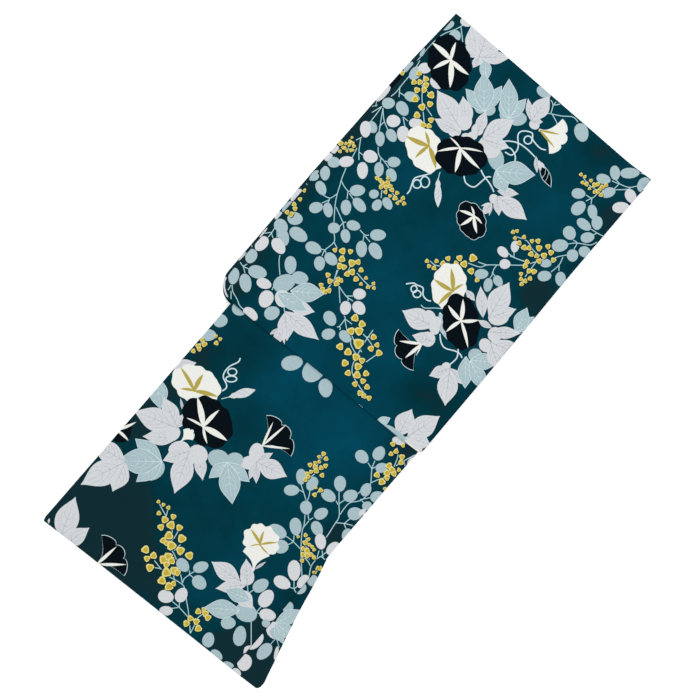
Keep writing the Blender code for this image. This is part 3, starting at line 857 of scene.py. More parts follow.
BODY_PALE_OVALS = [
    (320.5, 542, 16, 11, 80), (333, 549, 16, 11, 140), (165.5, 597, 16, 13, 15),
    (181, 595.5, 15.5, 12, -60), (165.5, 611.5, 14, 10, -5), (294, 571, 21, 13, 90),
    (282, 583, 18, 12.5, 28), (266, 599, 19.5, 14, -55), (267.5, 615.5, 17, 12, 15),
    (399, 441, 14, 8, 15), (411, 461, 10, 5, -50), (303, 582, 15.5, 10, 131),
]

# %% The body's berries
BODY_BERRIES = [
    (202, 340, 5), (198, 346, 6), (199, 349, 5), (204, 344, 6), (193, 351, 5), (215.5, 336, 4),
    (220, 339, 4), (216, 343, 5),
    (323.5, 454, 5), (319, 457, 4), (326, 459, 5), (319, 462, 4), (310, 465, 5),
    (315, 463, 4), (315, 467, 5.5), (321, 468, 5), (325.5, 466, 5), (316, 471, 6),
    (322, 475.5, 5), (311, 472, 4.5), (307, 474, 5), (308, 477, 5), (305, 480, 5),
    (320.5, 490.5, 5), (314.5, 495, 5), (316, 488, 3),
    (298, 537, 3.5), (305.5, 535.5, 4.5), (308.5, 539.5, 4), (305, 543, 5.5), (309, 545, 4),
    (312, 547, 4), (303, 549, 5), (307, 551, 6), (303, 555, 6), (307, 556, 6), (311, 555, 5),
    (314, 550, 4), (314, 558, 4.5), (302, 561, 4.5), (314, 573, 4), (318, 569, 5.5),
    (322, 567, 4.5),
    (158, 502, 4), (163, 505, 4), (168, 508, 4.5), (158.5, 513.5, 5), (173, 517, 6),
    (164.5, 520, 7.5), (170.5, 525.5, 9), (160.5, 527.5, 7), (179, 528, 7), (168.5, 536, 9),
    (163, 541, 7), (166, 543.5, 6), (171, 546, 10), (181.5, 539, 9), (180, 551, 9),
    (189, 556, 8.5), (145, 550, 8.5), (153, 556, 7.5), (146.5, 559, 6.5), (149.5, 568, 8.5),
    (163, 560, 9), (168, 557, 9), (171, 561, 8), (166, 565, 7), (166, 573, 10),
    (174, 571, 9), (177, 573, 7), (161.5, 581, 9), (168.5, 587, 9), (173, 584, 6),
    (198, 612, 6.5), (203.5, 610, 5), (205, 614, 7), (207.5, 618, 7), (190, 619, 6.5),
    (186, 624, 7), (196, 622, 7), (198, 629, 7.5),
    (393, 444, 5.5), (403, 445.5, 4.5), (391, 454, 5), (396, 451.5, 5.5), (402, 457, 6),
    (401, 462.5, 6), (389, 466, 7), (392, 470, 7), (394, 474, 6), (377, 475, 6.5),
    (387, 473, 7), (387, 478, 6), (382, 482, 7.5), (385, 489, 4), (399, 470, 4.5),
]

# %% The body's leaves, flowers and tendrils
BODY_LEAVES = [
    ("lavender", 173, 371, (196, 362.5, 0.62)), ("sage", 156, 377, (160, 409, 0.56)),
    ("lavender", 178, 438, (142, 436.5, 0.46)),
    ("lavender", 177, 428, (168, 440, 0.9), (183, 414, 0.7), (163, 397, 0.5), (133, 411, 0.5)),
    ("lavender", 183, 412, (180, 398, 0.2)),
    ("sage", 161, 462, (145, 478, 0.86), (135, 439, 0.48), (136, 482, 0.48), (117, 461, 0.56)),
    ("lavender", 125, 462, (92, 443, 0.56), (112, 492, 0.62), (80, 485, 0.5)),
    ("lavender", 198, 452, (202.5, 481, 0.42)),
    ("lavender", 189, 451, (169, 450, 0.95), (206, 459, 1.05), (162, 461, 0.5), (174, 494, 0.5)),
    ("lavender", 256, 462, (257, 444, 0.85), (241, 464, 0.9), (273, 453, 0.4),
     (249, 480, 0.4), (256, 484, 0.36), (287, 477, 0.58)),
    ("sage", 227, 463, (209, 455, 0.95), (242, 458, 1.0), (209, 478, 0.5), (249, 482, 0.44),
     (232, 504, 0.5)),
    ("lavender", 58, 542, (75, 497, 0.5)), ("lavender", 61, 547, (89, 528, 0.5)),
    ("lavender", 47, 524, (49, 518.5, 0.4)),
    ("lavender", 240, 582, (211, 562, 0.5)),
    ("lavender", 236, 590, (253, 609, 0.62)),
    ("lavender", 247, 585, (247, 569, 0.9), (246, 559, 0.5), (215, 589, 0.42)),
    ("sage", 250, 601, (225, 590, 0.5)),
    ("sage", 239, 611, (204, 608, 0.52)),
    ("lavender", 251, 646, (243, 654, 0.55)),
    ("lavender", 252, 562, (249, 553, 0.2)), ("lavender", 254, 570, (266, 562, 0.2)),
    ("lavender", 359, 516, (366, 509, 0.6)),
]
BODY_CUT_OVALS = [("sage", 314.8, 369, 30, 20.5, -49), ("sage", 246, 613, 23, 19, 30),
                  ("sage", 266, 624, 9, 8, 40)]
BODY_TRUMPETS = [
    ("black", 262, 446, -31, 32, 47, (273, 422, 0.09), (286, 425, 0.08), (290, 449, 0.08)),
    ("black", 96, 565, -29, 31, 46, (116, 547, 0.12), (126, 565, 0.1)),
    ("cream", 253, 571, -80, 28, 26),
]
BODY_FLOWERS = [
    ("cream", 196, 385, 52, 37, 28, (194, 391), (180, 367, 0.14), (203, 374, 0.24),
     (180, 389, 0.2), (218, 397, 0.18)),
    ("black", 207, 422, 57, 46, 47, (203, 427), (197, 397), (219, 410, 0.18),
     (186, 418, 0.13), (227, 441, 0.22), (207, 444, 0.16)),
    ("black", 119, 428, 30, 24, 80, (116, 430), (136, 422, 0.14), (128, 441, 0.18)),
]
BODY_RUFFLED_FLOWER = ("cream", 261, 541, 37, 32, 25, (260, 545), (250, 529, 0.16), (264, 531, 0.2),
                       (249, 547, 0.12), (278, 543, 0.13), (269, 555, 0.13))
BODY_TENDRILS = [
    [(240, 358), (238, 362), (230, 366), (225, 371), (223, 377), (226, 384), (226, 388),
     (222, 391)],
]
BODY_RINGS = [(232, 372, 4.5, 3.5), (231, 379, 5.5, 3)]
BODY_BUDS = [("lavender", 229, 397, 255, 390, 0.3)]

BODY_PRINT = bouquet(
    BODY_STEMS, BODY_SAGE_OVALS, BODY_PALE_OVALS, BODY_BERRIES, BODY_CUT_OVALS, BODY_LEAVES,
    BODY_TRUMPETS, BODY_BUDS, BODY_FLOWERS,
    flower(*BODY_RUFFLED_FLOWER, ruffle=0.06) + trumpet("cream", 180, 442, -42, 17, 13),
    BODY_TENDRILS, BODY_RINGS)
print("body print:", len(BODY_PRINT), "outlines")

# %% [markdown]
# ## The cotton
# Printed cotton is matt, with a plain weave that only shows close up. Such threads are about
# 0.4 mm wide; they are drawn at 1.2 mm so that they stay clear of flicker. The dyed ground is
# cloudy, and moves from a teal to a green black. Along the cuff and the seam side it is made
# darker still, as painted shade where the cloth rolls over. The pale inks are a little mottled,
# as pigment is on a woven cloth.

# %% Materials
THREAD = 1.2 * MM
THREAD_WAVER = 0.4
WEAVE_DEPTH = 0.05 * MM
CLOUD = 26.0 * MM
GRAIN = 2.2 * MM
# the shade ink is the painted shadow below each berry
INK_COLOURS = {
    "lavender": ("B6B9BC", "D1D3D6"), "sage": ("8CA2A8", "A9BEC3"),
    "stem": ("8DB0B6", "AFCFD4"), "pale_line": ("B2C7CC", "CADBDF"),
    "cream": ("D0D2CB", "E4E5DF"), "mustard": ("A28E28", "C8B03C"),
    "husk": ("BFB366", "DFD696"), "ochre": ("94863A", "B5A550"), "black": ("02070C", "0B141B"),
    "vein": ("8F949C", "A3A8AE"), "shade": ("011C26", "01242E"),
    "wrong_side": ("133E49", "1C4A56"),
}
# where the dye, less the painted shade along the edges, reaches this share, the ground has this
# colour
GROUND_COLOURS = [(0.0, "0D282E"), (0.26, "0D2930"), (0.36, "012D36"), (0.62, "013542"),
                  (1.0, "014054")]


def printed_cotton(ink):
    """A woven cotton in one ink: its colour moves between two tones along the threads."""
    made, surface = new_material(ink + "_cotton", {"Roughness": 0.95, "Specular IOR Level": 0.02})
    cloth = add_node(made, "ShaderNodeUVMap", {}, uv_map="cloth").outputs["UV"]
    if ink == "ground":
        # this attribute holds the dye clouds together with the painted shade along the cuff and the
        # seam side
        dye_and_shade = add_node(made, "ShaderNodeAttribute", {}, attribute_name="dye_and_shade").outputs["Fac"]
        cloud = add_node(made, "ShaderNodeTexNoise",
                         {"Vector": cloth, "Scale": 1 / CLOUD, "Detail": 6.0,
                          "Roughness": 0.62}).outputs["Fac"]
        swing = add_node(made, "ShaderNodeMath", {0: cloud, 1: 0.5, 2: -0.25},
                         operation="MULTIPLY_ADD").outputs["Value"]
        amount = add_node(made, "ShaderNodeMath", {0: swing, 1: dye_and_shade},
                          operation="ADD").outputs["Value"]
        ramp = add_node(made, "ShaderNodeValToRGB", {"Fac": amount})
        for number, (share, code) in enumerate(GROUND_COLOURS):
            stops = ramp.color_ramp.elements
            stop = stops[number] if number < 2 else stops.new(share)
            stop.position = share
            stop.color = srgb(code)
        colour = ramp.outputs["Color"]
    else:
        dark, light = INK_COLOURS[ink]
        grain = add_node(made, "ShaderNodeTexNoise",
                         {"Vector": cloth, "Scale": 1 / GRAIN, "Detail": 3.0})
        colour = add_node(made, "ShaderNodeMix",
                          {0: grain.outputs["Fac"], 6: srgb(dark), 7: srgb(light)},
                          data_type="RGBA").outputs[2]
    threads = [add_node(made, "ShaderNodeTexWave",
                        {"Vector": cloth, "Scale": 1 / THREAD / 2, "Distortion": THREAD_WAVER},
                        bands_direction=direction).outputs["Fac"] for direction in "XY"]
    weave = add_node(made, "ShaderNodeMath", {0: threads[0], 1: threads[1]},
                     operation="MULTIPLY").outputs["Value"]
    bump = add_node(made, "ShaderNodeBump",
                    {"Height": weave, "Distance": WEAVE_DEPTH, "Strength": 0.6})
    set_inputs(made, surface, {"Base Color": colour, "Normal": bump.outputs["Normal"]})
    return made


COTTON = [printed_cotton(ink) for ink in INKS]
print("materials:", [each.name for each in COTTON])

# %% Dye clouds, and painted shade along the edges
# x, y, radius on the page, and how much more dye the ground took there
PLAIN_DYE = 0.6
REPEAT = 930.0
# painted shade: how much darker the ground is made along the cuff and along the seam side, where the
# cloth rolls over, and how far in
CUFF_PAINTED_SHADE = 0.3
SEAM_PAINTED_SHADE = 0.15
SEAM_SIDE = 330.0
EDGE_REACH = 20.0
CLOUDS = [
    (345, 435, 40, 0.36), (280, 385, 32, 0.30), (385, 280, 32, 0.24), (392, 352, 30, 0.26),
    (412, 182, 22, 0.18), (553, 212, 24, 0.20), (308, 350, 26, 0.22), (300, 470, 30, 0.15),
    (440, 240, 22, 0.12), (232, 560, 18, 0.12), (197, 592, 16, 0.16), (505, 215, 20, 0.12),
    (432, 205, 16, -0.16), (600, 152, 22, -0.30), (511, 77, 20, -0.16), (416, 390, 20, -0.30),
    (438, 402, 14, -0.22), (245, 350, 28, -0.24), (200, 357, 20, -0.34), (245, 420, 20, -0.16),
    (210, 518, 30, -0.12), (112, 508, 42, -0.85), (66, 508, 24, -0.6), (130, 565, 28, -0.70),
    (90, 545, 30, -0.6),
    (535, 294, 14, -0.75), (609, 217, 14, -0.32), (224, 644, 17, -0.55), (260, 675, 24, -0.7),
    (340, 126, 22, -0.42), (372, 90, 20, -0.36), (301, 595, 22, -0.06), (257, 626, 14, -0.4),
    (262, 262, 20, -0.18), (240, 285, 16, -0.26), (140, 422, 24, -0.48), (171, 392, 14, -0.4),
    (336, 532, 14, -0.30), (182, 612, 18, -0.2), (158, 596, 14, -0.35), (404, 448, 14, -0.45),
]


def dye_and_shade_at(s, t):
    dye_and_shade = PLAIN_DYE
    for x, y, radius, amount in CLOUDS:
        cs, ct = (each / MM for each in page_to_cloth(x, y))
        off = (t - ct + REPEAT / 2) % REPEAT - REPEAT / 2
        away = math.hypot(s - cs, off) / (radius * PAGE_POINT / MM)
        dye_and_shade += amount * math.exp(-away * away)
    # painted shade: the ground is made darker near the cuff and near the seam side
    for painted_shade, from_edge in ((CUFF_PAINTED_SHADE, s), (SEAM_PAINTED_SHADE, SEAM_SIDE - s)):
        dye_and_shade -= painted_shade * math.exp(-(max(from_edge, 0.0) / EDGE_REACH) ** 2)
    return min(max(dye_and_shade, 0.0), 1.0)


# %% [markdown]
# ## Cutting a cloth
# A cloth starts flat. Its outline, its folds and every printed outline go into one flat mesh,
# so that each triangle has one ink. Then each corner is carried to its place in the stack, and
# the sheet is given its thickness, always away from the side that shows. Flat places on a cloth
# are in millimetres.

# %% The cloth cutter
SHEET_THICK = 0.5 * MM
CELL = 8.0
SNAP = 1e-4
TURNED_ROUND = (330, 838)
FINE_AREA = 8


def signed_area(points):
    return sum(x0 * y1 - x1 * y0
               for (x0, y0), (x1, y1) in zip(points, points[1:] + points[:1])) / 2


def span(low, high, step):
    """Even places from one end to the other, about a step apart."""
    count = max(int(math.ceil(abs(high - low) / step)), 1)
    return [low + (high - low) * n / count for n in range(count + 1)]


def printed_cloth(name, outline, place, prints, lines, node=None, cell=CELL):
    """One sheet: outline, prints and lines are flat, and place carries them."""
    low_s, high_s = min(p[0] for p in outline), max(p[0] for p in outline)
    low_t, high_t = min(p[1] for p in outline), max(p[1] for p in outline)
    points, edges, faces, inks = [], [], [], []

    def add_polygon(polygon, ink):
        if signed_area(polygon) < 0:
            polygon = polygon[::-1]
        faces.append(list(range(len(points), len(points) + len(polygon))))
        points.extend(polygon)
        inks.append(ink)

    add_polygon(list(outline), INK["ground"])
    for ink, polygon in prints:
        s, t = [p[0] for p in polygon], [p[1] for p in polygon]
        if max(s) > low_s and min(s) < high_s and max(t) > low_t and min(t) < high_t:
            add_polygon(polygon, INK[ink])
    for line in lines:
        edges.extend((len(points) + n, len(points) + n + 1) for n in range(len(line) - 1))
        points.extend(line)
    across, along = span(low_s, high_s, cell), span(low_t, high_t, cell)
    points.extend((s, t) for s in across[1:-1] for t in along[1:-1])
    flat, _, triangles, _, _, origins = delaunay_2d_cdt(
        [Vector(p) for p in points], edges, faces, 0, SNAP, True)

    bm = bmesh.new()
    uv = bm.loops.layers.uv.new("cloth")
    tone = bm.verts.layers.float.new("dye_and_shade")
    made = {}

    def corner(n):
        if n not in made:
            s, t = flat[n]
            made[n] = bm.verts.new(place(s, t))
            made[n][tone] = dye_and_shade_at(s, t)
        return made[n]

    for triangle, origin in zip(triangles, origins):
        if 0 in origin:
            turned = [triangle[0], triangle[2], triangle[1]]
            face = bm.faces.new([corner(n) for n in turned])
            face.material_index = inks[max(origin)]
            face.smooth = True
            for loop, n in zip(face.loops, turned):
                loop[uv].uv = flat[n] * MM
    mesh = bpy.data.meshes.new(name)
    bm.to_mesh(mesh)
    bm.free()
    for each in COTTON:
        mesh.materials.append(each)
    made_cloth = add_object(name, mesh)
    thick = made_cloth.modifiers.new("cotton", "SOLIDIFY")
    thick.thickness = SHEET_THICK
    thick.offset = -1.0
    thick.material_offset = len(INKS)
    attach(made_cloth, "root")
    if node:
        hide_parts(node)
    print(name, len(mesh.polygons), "triangles")
    return made_cloth


def on_cloth(prints, shift_across=0.0, shift_along=0.0, turned=False):
    """Carries a print from its page to a cloth, moved along the repeat."""
    placed = []
    for ink, polygon in prints:
        flat = []
        for x, y in polygon:
            s, t = (each / MM for each in page_to_cloth(x, y))
            if turned:
                s, t = TURNED_ROUND[0] - s, TURNED_ROUND[1] - t
            flat.append((s + shift_across, t + shift_along))
        placed.append((ink, flat))
    return placed


def bold(prints):
    """A print without its finest lines and without the berries' painted shadows, for the side that
    lies down.
    """
    return [(ink, polygon) for ink, polygon in prints if ink not in ("shade", "vein")
            and (ink != "pale_line" or abs(signed_area(polygon)) > FINE_AREA)]


# one end, the other end, width and depth of each crease
CREASES = [((28, 300), (118, 268), 7.0, 0.34), ((60, 352), (205, 330), 9.0, 0.26),
           ((186, 120), (300, 96), 8.0, 0.30), ((214, 210), (322, 232), 7.0, 0.34),
           ((18, 96), (84, 142), 6.5, 0.30), ((118, 24), (150, 96), 8.5, 0.22),
           ((232, 418), (326, 396), 7.5, 0.32), ((70, 540), (190, 512), 9.0, 0.30),
           ((236, 560), (322, 596), 7.0, 0.34), ((40, 668), (150, 700), 8.5, 0.28),
           ((188, 730), (312, 700), 8.0, 0.32), ((60, 778), (176, 800), 7.0, 0.26),
           ((90, 1010), (240, 1040), 9.0, 0.30), ((50, 1290), (170, 1260), 8.0, 0.32),
           ((180, 1480), (300, 1500), 8.5, 0.28)]
CREASE_LIMIT = 0.45
CREASE_LANES = (-0.8, -0.4, 0.0, 0.4, 0.8)


def crease_at(s, t):
    """How far soft creases have sunk a cloth at a flat place."""
    sunk = 0.0
    for (s0, t0), (s1, t1), wide, deep in CREASES:
        along_s, along_t = s1 - s0, t1 - t0
        length = math.hypot(along_s, along_t)
        share = ((s - s0) * along_s + (t - t0) * along_t) / length ** 2
        if 0 < share < 1:
            away = ((s - s0) * along_t - (t - t0) * along_s) / length - wide / 3 * math.sin(
                3 * share + s0)
            sunk += deep * math.sin(math.pi * share) ** 0.7 * math.exp(-(away / wide * 2) ** 2)
    return min(sunk, CREASE_LIMIT)


def crease_lines():
    """Lines along each crease, so that the mesh can follow it."""
    lines = []
    for (s0, t0), (s1, t1), wide, _ in CREASES:
        length = math.hypot(s1 - s0, t1 - t0)
        for out in CREASE_LANES:
            line = []
            for share in span(0, 1, CELL / length):
                off = wide * (out + math.sin(3 * share + s0) / 3)
                line.append((s0 + (s1 - s0) * share + (t1 - t0) / length * off,
                             t0 + (t1 - t0) * share - (s1 - s0) / length * off))
            lines.append(line)
    return lines


def curl(distance, radius):
    """How far a rounded edge has come down, at a distance in from it."""
    if distance >= radius:
        return 0.0
    t = 1 - max(distance, 0.0) / radius
    return radius * (1 - math.sqrt(1 - t * t))


# %% [markdown]
# ## The sleeves
# A sleeve is one length of cloth, folded at the shoulder, with its two layers sewn together
# along the hem and round the lower corner. The left one lies turned back over the body and the
# right one under it. Where they hang past the body's edge they sink towards the surface.

# %% The form of a sleeve
SLEEVE_TURN = SLEEVE_LAYER / MM + GAP / MM / 2
SLEEVE_LONG = 469
CUFF_EDGE = 0.5
CUFF_STEP, HEM_STEP, ARMHOLE_STEP, CORNER_STEP = 10, 9, 11, 6
AFTER_CORNER = 8
SEWN_REACH = 12
SHOULDER_RISE, RISE_FROM, RISE_REACH, RISE_DOWN = 2.4, 285, 45, 90
# where the armhole's edge ends above the hem, and the place that rounds their corner off
ARMHOLE_END, ARMHOLE_CORNER = 452, 455.6
# lines that keep the droop beside the body's edge smooth
DROOP_LINES = (4, 8, 12, 16, 21)
DROOP_ENDS = (-450, 445)
TURN_ENDS = (-1, 329)
TURN_STEPS = 8
EDGE_STEPS = (0.1, 0.4, 1.0)
UNDER_CORNER = 27.5
UPPER_CORNER = 30.0
CUFF_UPPER = [(0, 0), (190, -0.9), (300, -1.6), (400, -2.4), (SLEEVE_LONG, -2.4)]
CUFF_UNDER = [(0, -2.0), (50, -4.5), (95, -6.4), (200, -7.3), (290, -7.8), (370, -6.4),
              (SLEEVE_LONG, -5.9)]
ARMHOLE = [(0, 327.4), (60, 328.2), (160, 329.2), (240, 331.2), (340, 333.1),
           (SLEEVE_LONG, 335.0)]
RIGHT_ARMHOLE = [(0, 325.2), (230, 327.0), (SLEEVE_LONG, 328.6)]
SLEEVE_HEM = [(0, 469.0), (60, 468.9), (100, 467.2), (150, 463.9), (200, 462.6), (260, 460.8),
              (300, 459.6), (331, 457.4)]
HEM_END = 330.4
DROOP_START = PANEL_LEFT - 3.0 * MM
DROOP_REACH = DROOP_START + 9.1 * MM


def droop(across, drop):
    """How far a sleeve has sunk where it hangs past the body's edge."""
    t = max((DROOP_START - across) / DROOP_REACH, 0.0)
    return drop * t * t * (3 - t) / 2


def sleeve_edge(cuff, corner, share):
    """Cuff, corner and hem of one layer, in order, moved in by a share of the edge's roll."""
    inset = share * CUFF_EDGE
    cuff_line = [(smooth_mm(cuff, down) + inset, down)
                 for down in span(0, SLEEVE_LONG - corner, CUFF_STEP)[:-1]]
    turn_across = smooth_mm(cuff, SLEEVE_LONG) + corner
    reach = corner - inset
    arc = [(turn_across - reach * math.cos(math.radians(turn)),
            SLEEVE_LONG - corner + reach * math.sin(math.radians(turn)))
           for turn in range(0, 90, CORNER_STEP)]
    roll = share * SLEEVE_TURN
    hem = [(across, smooth_mm(SLEEVE_HEM, across) - roll)
           for across in span(turn_across + AFTER_CORNER, HEM_END, HEM_STEP)]
    return cuff_line + arc + hem


def shoulder_rise(across, down):
    """The shoulder fold runs a little high at its armhole end."""
    return SHOULDER_RISE * ease((across - RISE_FROM) / RISE_REACH) * (1 - ease(down / RISE_DOWN))


def edge_fall(across, down, cuff, corner, armhole):
    """How far one layer has curled over at its cuff, corner and hem."""
    left = across - smooth_mm(cuff, down)
    turn_across = smooth_mm(cuff, SLEEVE_LONG) + corner
    out_s, out_t = turn_across - across, down - (SLEEVE_LONG - corner)
    if out_s > 0 and out_t > 0:
        left = corner - math.hypot(out_s, out_t)
    fall = curl(left, CUFF_EDGE)
    fall = max(fall, curl(smooth_mm(armhole, down) - across, CUFF_EDGE))
    if across > turn_across:
        sewn = ease((across - turn_across) / SEWN_REACH)
        radius = CUFF_EDGE + (SLEEVE_TURN - CUFF_EDGE) * sewn
        fall = max(fall, curl(smooth_mm(SLEEVE_HEM, across) - down, radius))
    return fall


def sleeve_cloth(name, top, upper, under, armhole, drop, shift, prints, node):
    """The whole sleeve: its upper layer lies at positive places and its under one below 0."""
    turn = SLEEVE_TURN
    past = (math.pi - 2) * turn
    middle = top - turn * MM
    (upper_cuff, upper_corner), (under_cuff, under_corner) = upper, under
    shift_s, shift_t = shift

    def place(s, t):
        if t >= turn:
            down, side = t, 1.0
            side -= (edge_fall(s, down, upper_cuff, upper_corner, armhole)
                     + crease_at(s, t)) / turn
        elif t > turn - math.pi * turn:
            angle = (turn - t) / turn
            down, side = turn - turn * math.sin(angle), math.cos(angle)
        else:
            down = -t - past
            side = edge_fall(s, down, under_cuff, under_corner, armhole) / turn - 1.0
        height = middle + side * turn * MM - droop(s * MM, drop)
        down += shift_t - shoulder_rise(s, down)
        return cloth_place((s + shift_s) * MM, down * MM, height)

    def both(share):
        first = sleeve_edge(upper_cuff, upper_corner, share)
        second = sleeve_edge(under_cuff, under_corner, share)
        return first, [(s, -t - past) for s, t in second]

    first, second = both(0.0)
    side_line = [(smooth_mm(armhole, down), down) for down in span(ARMHOLE_END, 0, ARMHOLE_STEP)]
    side_line[:0] = [((HEM_END + 2 * side_line[0][0]) / 3, ARMHOLE_CORNER)]
    right = side_line + [(s, -t - past) for s, t in side_line[::-1]]
    outline = first + right + second[::-1]
    lines = [line for share in EDGE_STEPS for line in both(share)]
    lines += [[(s, turn - math.pi * turn * n / TURN_STEPS) for s in span(*TURN_ENDS, CELL)]
              for n in range(TURN_STEPS + 1)]
    lines += [[(s, t) for t in span(*DROOP_ENDS, CELL)] for s in DROOP_LINES]
    lines += crease_lines()
    return printed_cloth(name, outline, place, prints, lines, node)


# %% Left and right sleeve
LEFT_DROP = 9.2 * MM
RIGHT_DROP = 5.4 * MM
RIGHT_SHIFT = (1.5, 3.0)
RIGHT_PRINT_DOWN = -470
# painted highlight: a cream strip along the right end of the rolled hem, where its edge catches the
# light
hem_painted_highlight = [("cream", strip([(308, 456.6), (315, 457.3), (322, 457.3), (331, 456.3)], 1.3))]
stitches = [("pale_line", strip([(s, 460.9), (s + 1.0, 460.9)], 0.5))
            for s in (233.5, 236, 238.5)]
left_print = (on_cloth(SLEEVE_PRINT) + hem_painted_highlight + stitches
              + bold(on_cloth(BODY_PRINT, 0, -REPEAT)))
sleeve_left = sleeve_cloth(
    "left_sleeve", sleeve_high.z, (CUFF_UPPER, UPPER_CORNER), (CUFF_UNDER, UNDER_CORNER),
    ARMHOLE, LEFT_DROP, (0, 0), left_print, "sleeve_left")
sleeve_right = sleeve_cloth(
    "right_sleeve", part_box("sleeve_right")[1].z, (CUFF_UNDER, UNDER_CORNER),
    (CUFF_UPPER, UPPER_CORNER), RIGHT_ARMHOLE, RIGHT_DROP, RIGHT_SHIFT,
    on_cloth(SLEEVE_PRINT, 0, RIGHT_PRINT_DOWN, True), "sleeve_right")

# %% [markdown]
# The cuff's hem is turned in, so its printed side faces up where the under layer shows past the
# upper one. Its motifs come from another part of the cloth.

# %% The cuff's hem
HEM_WIDE = 14.0
# millimetres across and down, then long, wide and turn
CUFF_SAGE = [(-3, 92, 17, 8, 90), (-3, 277, 17, 8, 88), (-3, 330, 18, 8, 92),
             (-2, 66, 12, 4, 80)]
CUFF_LAVENDER = [(-5, 139, 26, 9, 90), (-5, 234, 12, 10, 90), (-5, 247, 12, 11, 90),
                 (-4, 311, 20, 9, 90), (-4, 346, 12, 9, 90), (-4, 375, 16, 2.6, 88),
                 (-4.5, 416, 15, 2.4, 92)]
CUFF_STEMS = [[(-5, 152), (-2, 157), (0, 158)], [(-5, 161), (-1, 155)], [(-4, 291), (0, 293)],
              [(-5, 397), (-1, 400)]]
CUFF_BAND = [(-3, 450), (-1, 455.5), (3.5, 461), (9, 465.2), (16, 468)]
CUFF_BAND_WIDE = 3
CUFF_START, CUFF_END = 3, 21.5
CUFF_ROLL = 1.1
HEM_CLEAR = 0.05 * MM
cuff_print = (drawn_all(vine, CUFF_STEMS) + drawn_all(oval, CUFF_LAVENDER, "lavender")
              + drawn_all(oval, CUFF_SAGE, "sage")
              + [("black", [(-9, 107), (2, 107), (2, 126), (-9, 126)])]
              + berry(-4, 103, 6.5) + berry(-4.5, 223, 7.5)
              + [("lavender", strip(CUFF_BAND, CUFF_BAND_WIDE))])


def cuff_line(inset):
    """The edge of the under layer and its corner, moved in by some millimetres."""
    line = sleeve_edge(CUFF_UNDER, UNDER_CORNER, inset / CUFF_EDGE)
    return [p for p in line if p[1] > CUFF_START and p[0] < CUFF_END]


def cuff_place(s, t):
    turned_in = sleeve_high.z - 2 * SLEEVE_TURN * MM + 2 * SHEET_THICK + HEM_CLEAR
    fall = edge_fall(s, t, CUFF_UNDER, UNDER_CORNER, ARMHOLE) * CUFF_ROLL
    return cloth_place(s * MM, t * MM, turned_in - fall * MM - droop(s * MM, LEFT_DROP))


cuff_hem = printed_cloth("cuff_hem", cuff_line(0.0) + cuff_line(HEM_WIDE)[::-1], cuff_place,
                         cuff_print, [cuff_line(share * CUFF_EDGE) for share in EDGE_STEPS])

# %% [markdown]
# ## The body
# The back panel is one cloth from the shoulder to the hem. It rolls down over the hidden layers
# at the centre seam, stops at the side seam, and turns round the crosswise fold.

# %% Back panel
ROLL_FLANGE = 1.8
SEAM_EDGE = 0.6
FOLD_CORNER = 1.8 * MM
roll = EDGE_ROLL / MM
flat_from = PANEL_LEFT / MM + roll
roll_length = math.pi / 2 * roll
CLOTH_LEFT = flat_from - roll_length - ROLL_FLANGE
FOLD_TURN = FOLD_HALF / MM
FOLD_STEPS = 14
ROLL_STEPS = 5
PULL_REACH = 120


def fold_pull(across, along):
    """The outer corners of the crosswise fold are drawn in as it turns."""
    past = (along - straight_end(across)) / FOLD_HALF
    return FOLD_CORNER * math.sin(past) if 0 < past < math.pi else 0.0


def back_place(s, t):
    across, along = max(s, flat_from) * MM, t * MM
    down = down_of(across, along)
    deep = 0.0
    if s < flat_from:
        angle = min((flat_from - s) / roll, math.pi / 2)
        across -= EDGE_ROLL * math.sin(angle)
        deep = EDGE_ROLL * (1 - math.cos(angle)) + max(flat_from - roll_length - s, 0.0) * MM
    to_seam = (side_seam(down) - GAP / 2 - across) / MM
    deep += curl(to_seam, SEAM_EDGE) * MM
    share = 1 - ease((s - CLOTH_LEFT) / PULL_REACH)
    pull = fold_pull(across, along) / 2 * share
    placed = on_body(across, along, deep + crease_at(s, t) * MM)
    placed.x += pull
    return placed


def on_lower(across, down):
    """Flat place along the body of a distance from the shoulder, on the lower half."""
    end = rule_mm(straight_end, across)
    return end + math.pi * FOLD_TURN + end - down


def fold_place(s, step):
    """Flat place of one step round the crosswise fold."""
    return s, rule_mm(straight_end, s) + math.pi * FOLD_TURN * step / FOLD_STEPS


def fold_lines(left, right):
    return [[fold_place(s, n) for s in span(left, right, CELL)] for n in range(FOLD_STEPS + 1)]


HEM_SETBACK = 12.0
SHOULDER_SETBACK = 2.0
SEAM_END, SEAM_STEP = 818, 12
BODY_RIGHT = 330
HEM_ENDS = (28, 322)
BACK_REACH, BACK_LONG = 336, 1680
seam = [((side_seam(down * MM) - GAP / 2) / MM, down)
        for down in span(SHOULDER_SETBACK, SEAM_END, SEAM_STEP)]
seam_under = [(s, on_lower(s, down)) for s, down in reversed(seam) if down > HEM_SETBACK + 2]
right_edge = seam + seam_under + [(BODY_RIGHT, on_lower(BODY_RIGHT, HEM_SETBACK))]
left_edge = [(CLOTH_LEFT, t)
             for t in span(SHOULDER_SETBACK, on_lower(24, HEM_SETBACK), SEAM_STEP)]
hem_edge = [(s, on_lower(s, HEM_SETBACK)) for s in span(*HEM_ENDS, SEAM_STEP)]
back_outline = left_edge + hem_edge + right_edge[::-1]
back_lines = fold_lines(CLOTH_LEFT - 1, BACK_REACH)
back_lines += [[(flat_from - roll_length * n / ROLL_STEPS, t) for t in span(0, BACK_LONG, CELL)]
               for n in range(ROLL_STEPS + 1)]
back_lines += [[(s - SEAM_EDGE * share, t) for s, t in right_edge] for share in EDGE_STEPS]
back_lines += crease_lines()
body_print = (on_cloth(BODY_PRINT) + bold(on_cloth(SLEEVE_PRINT, 0, REPEAT))
              + bold(on_cloth(BODY_PRINT, 0, REPEAT)))
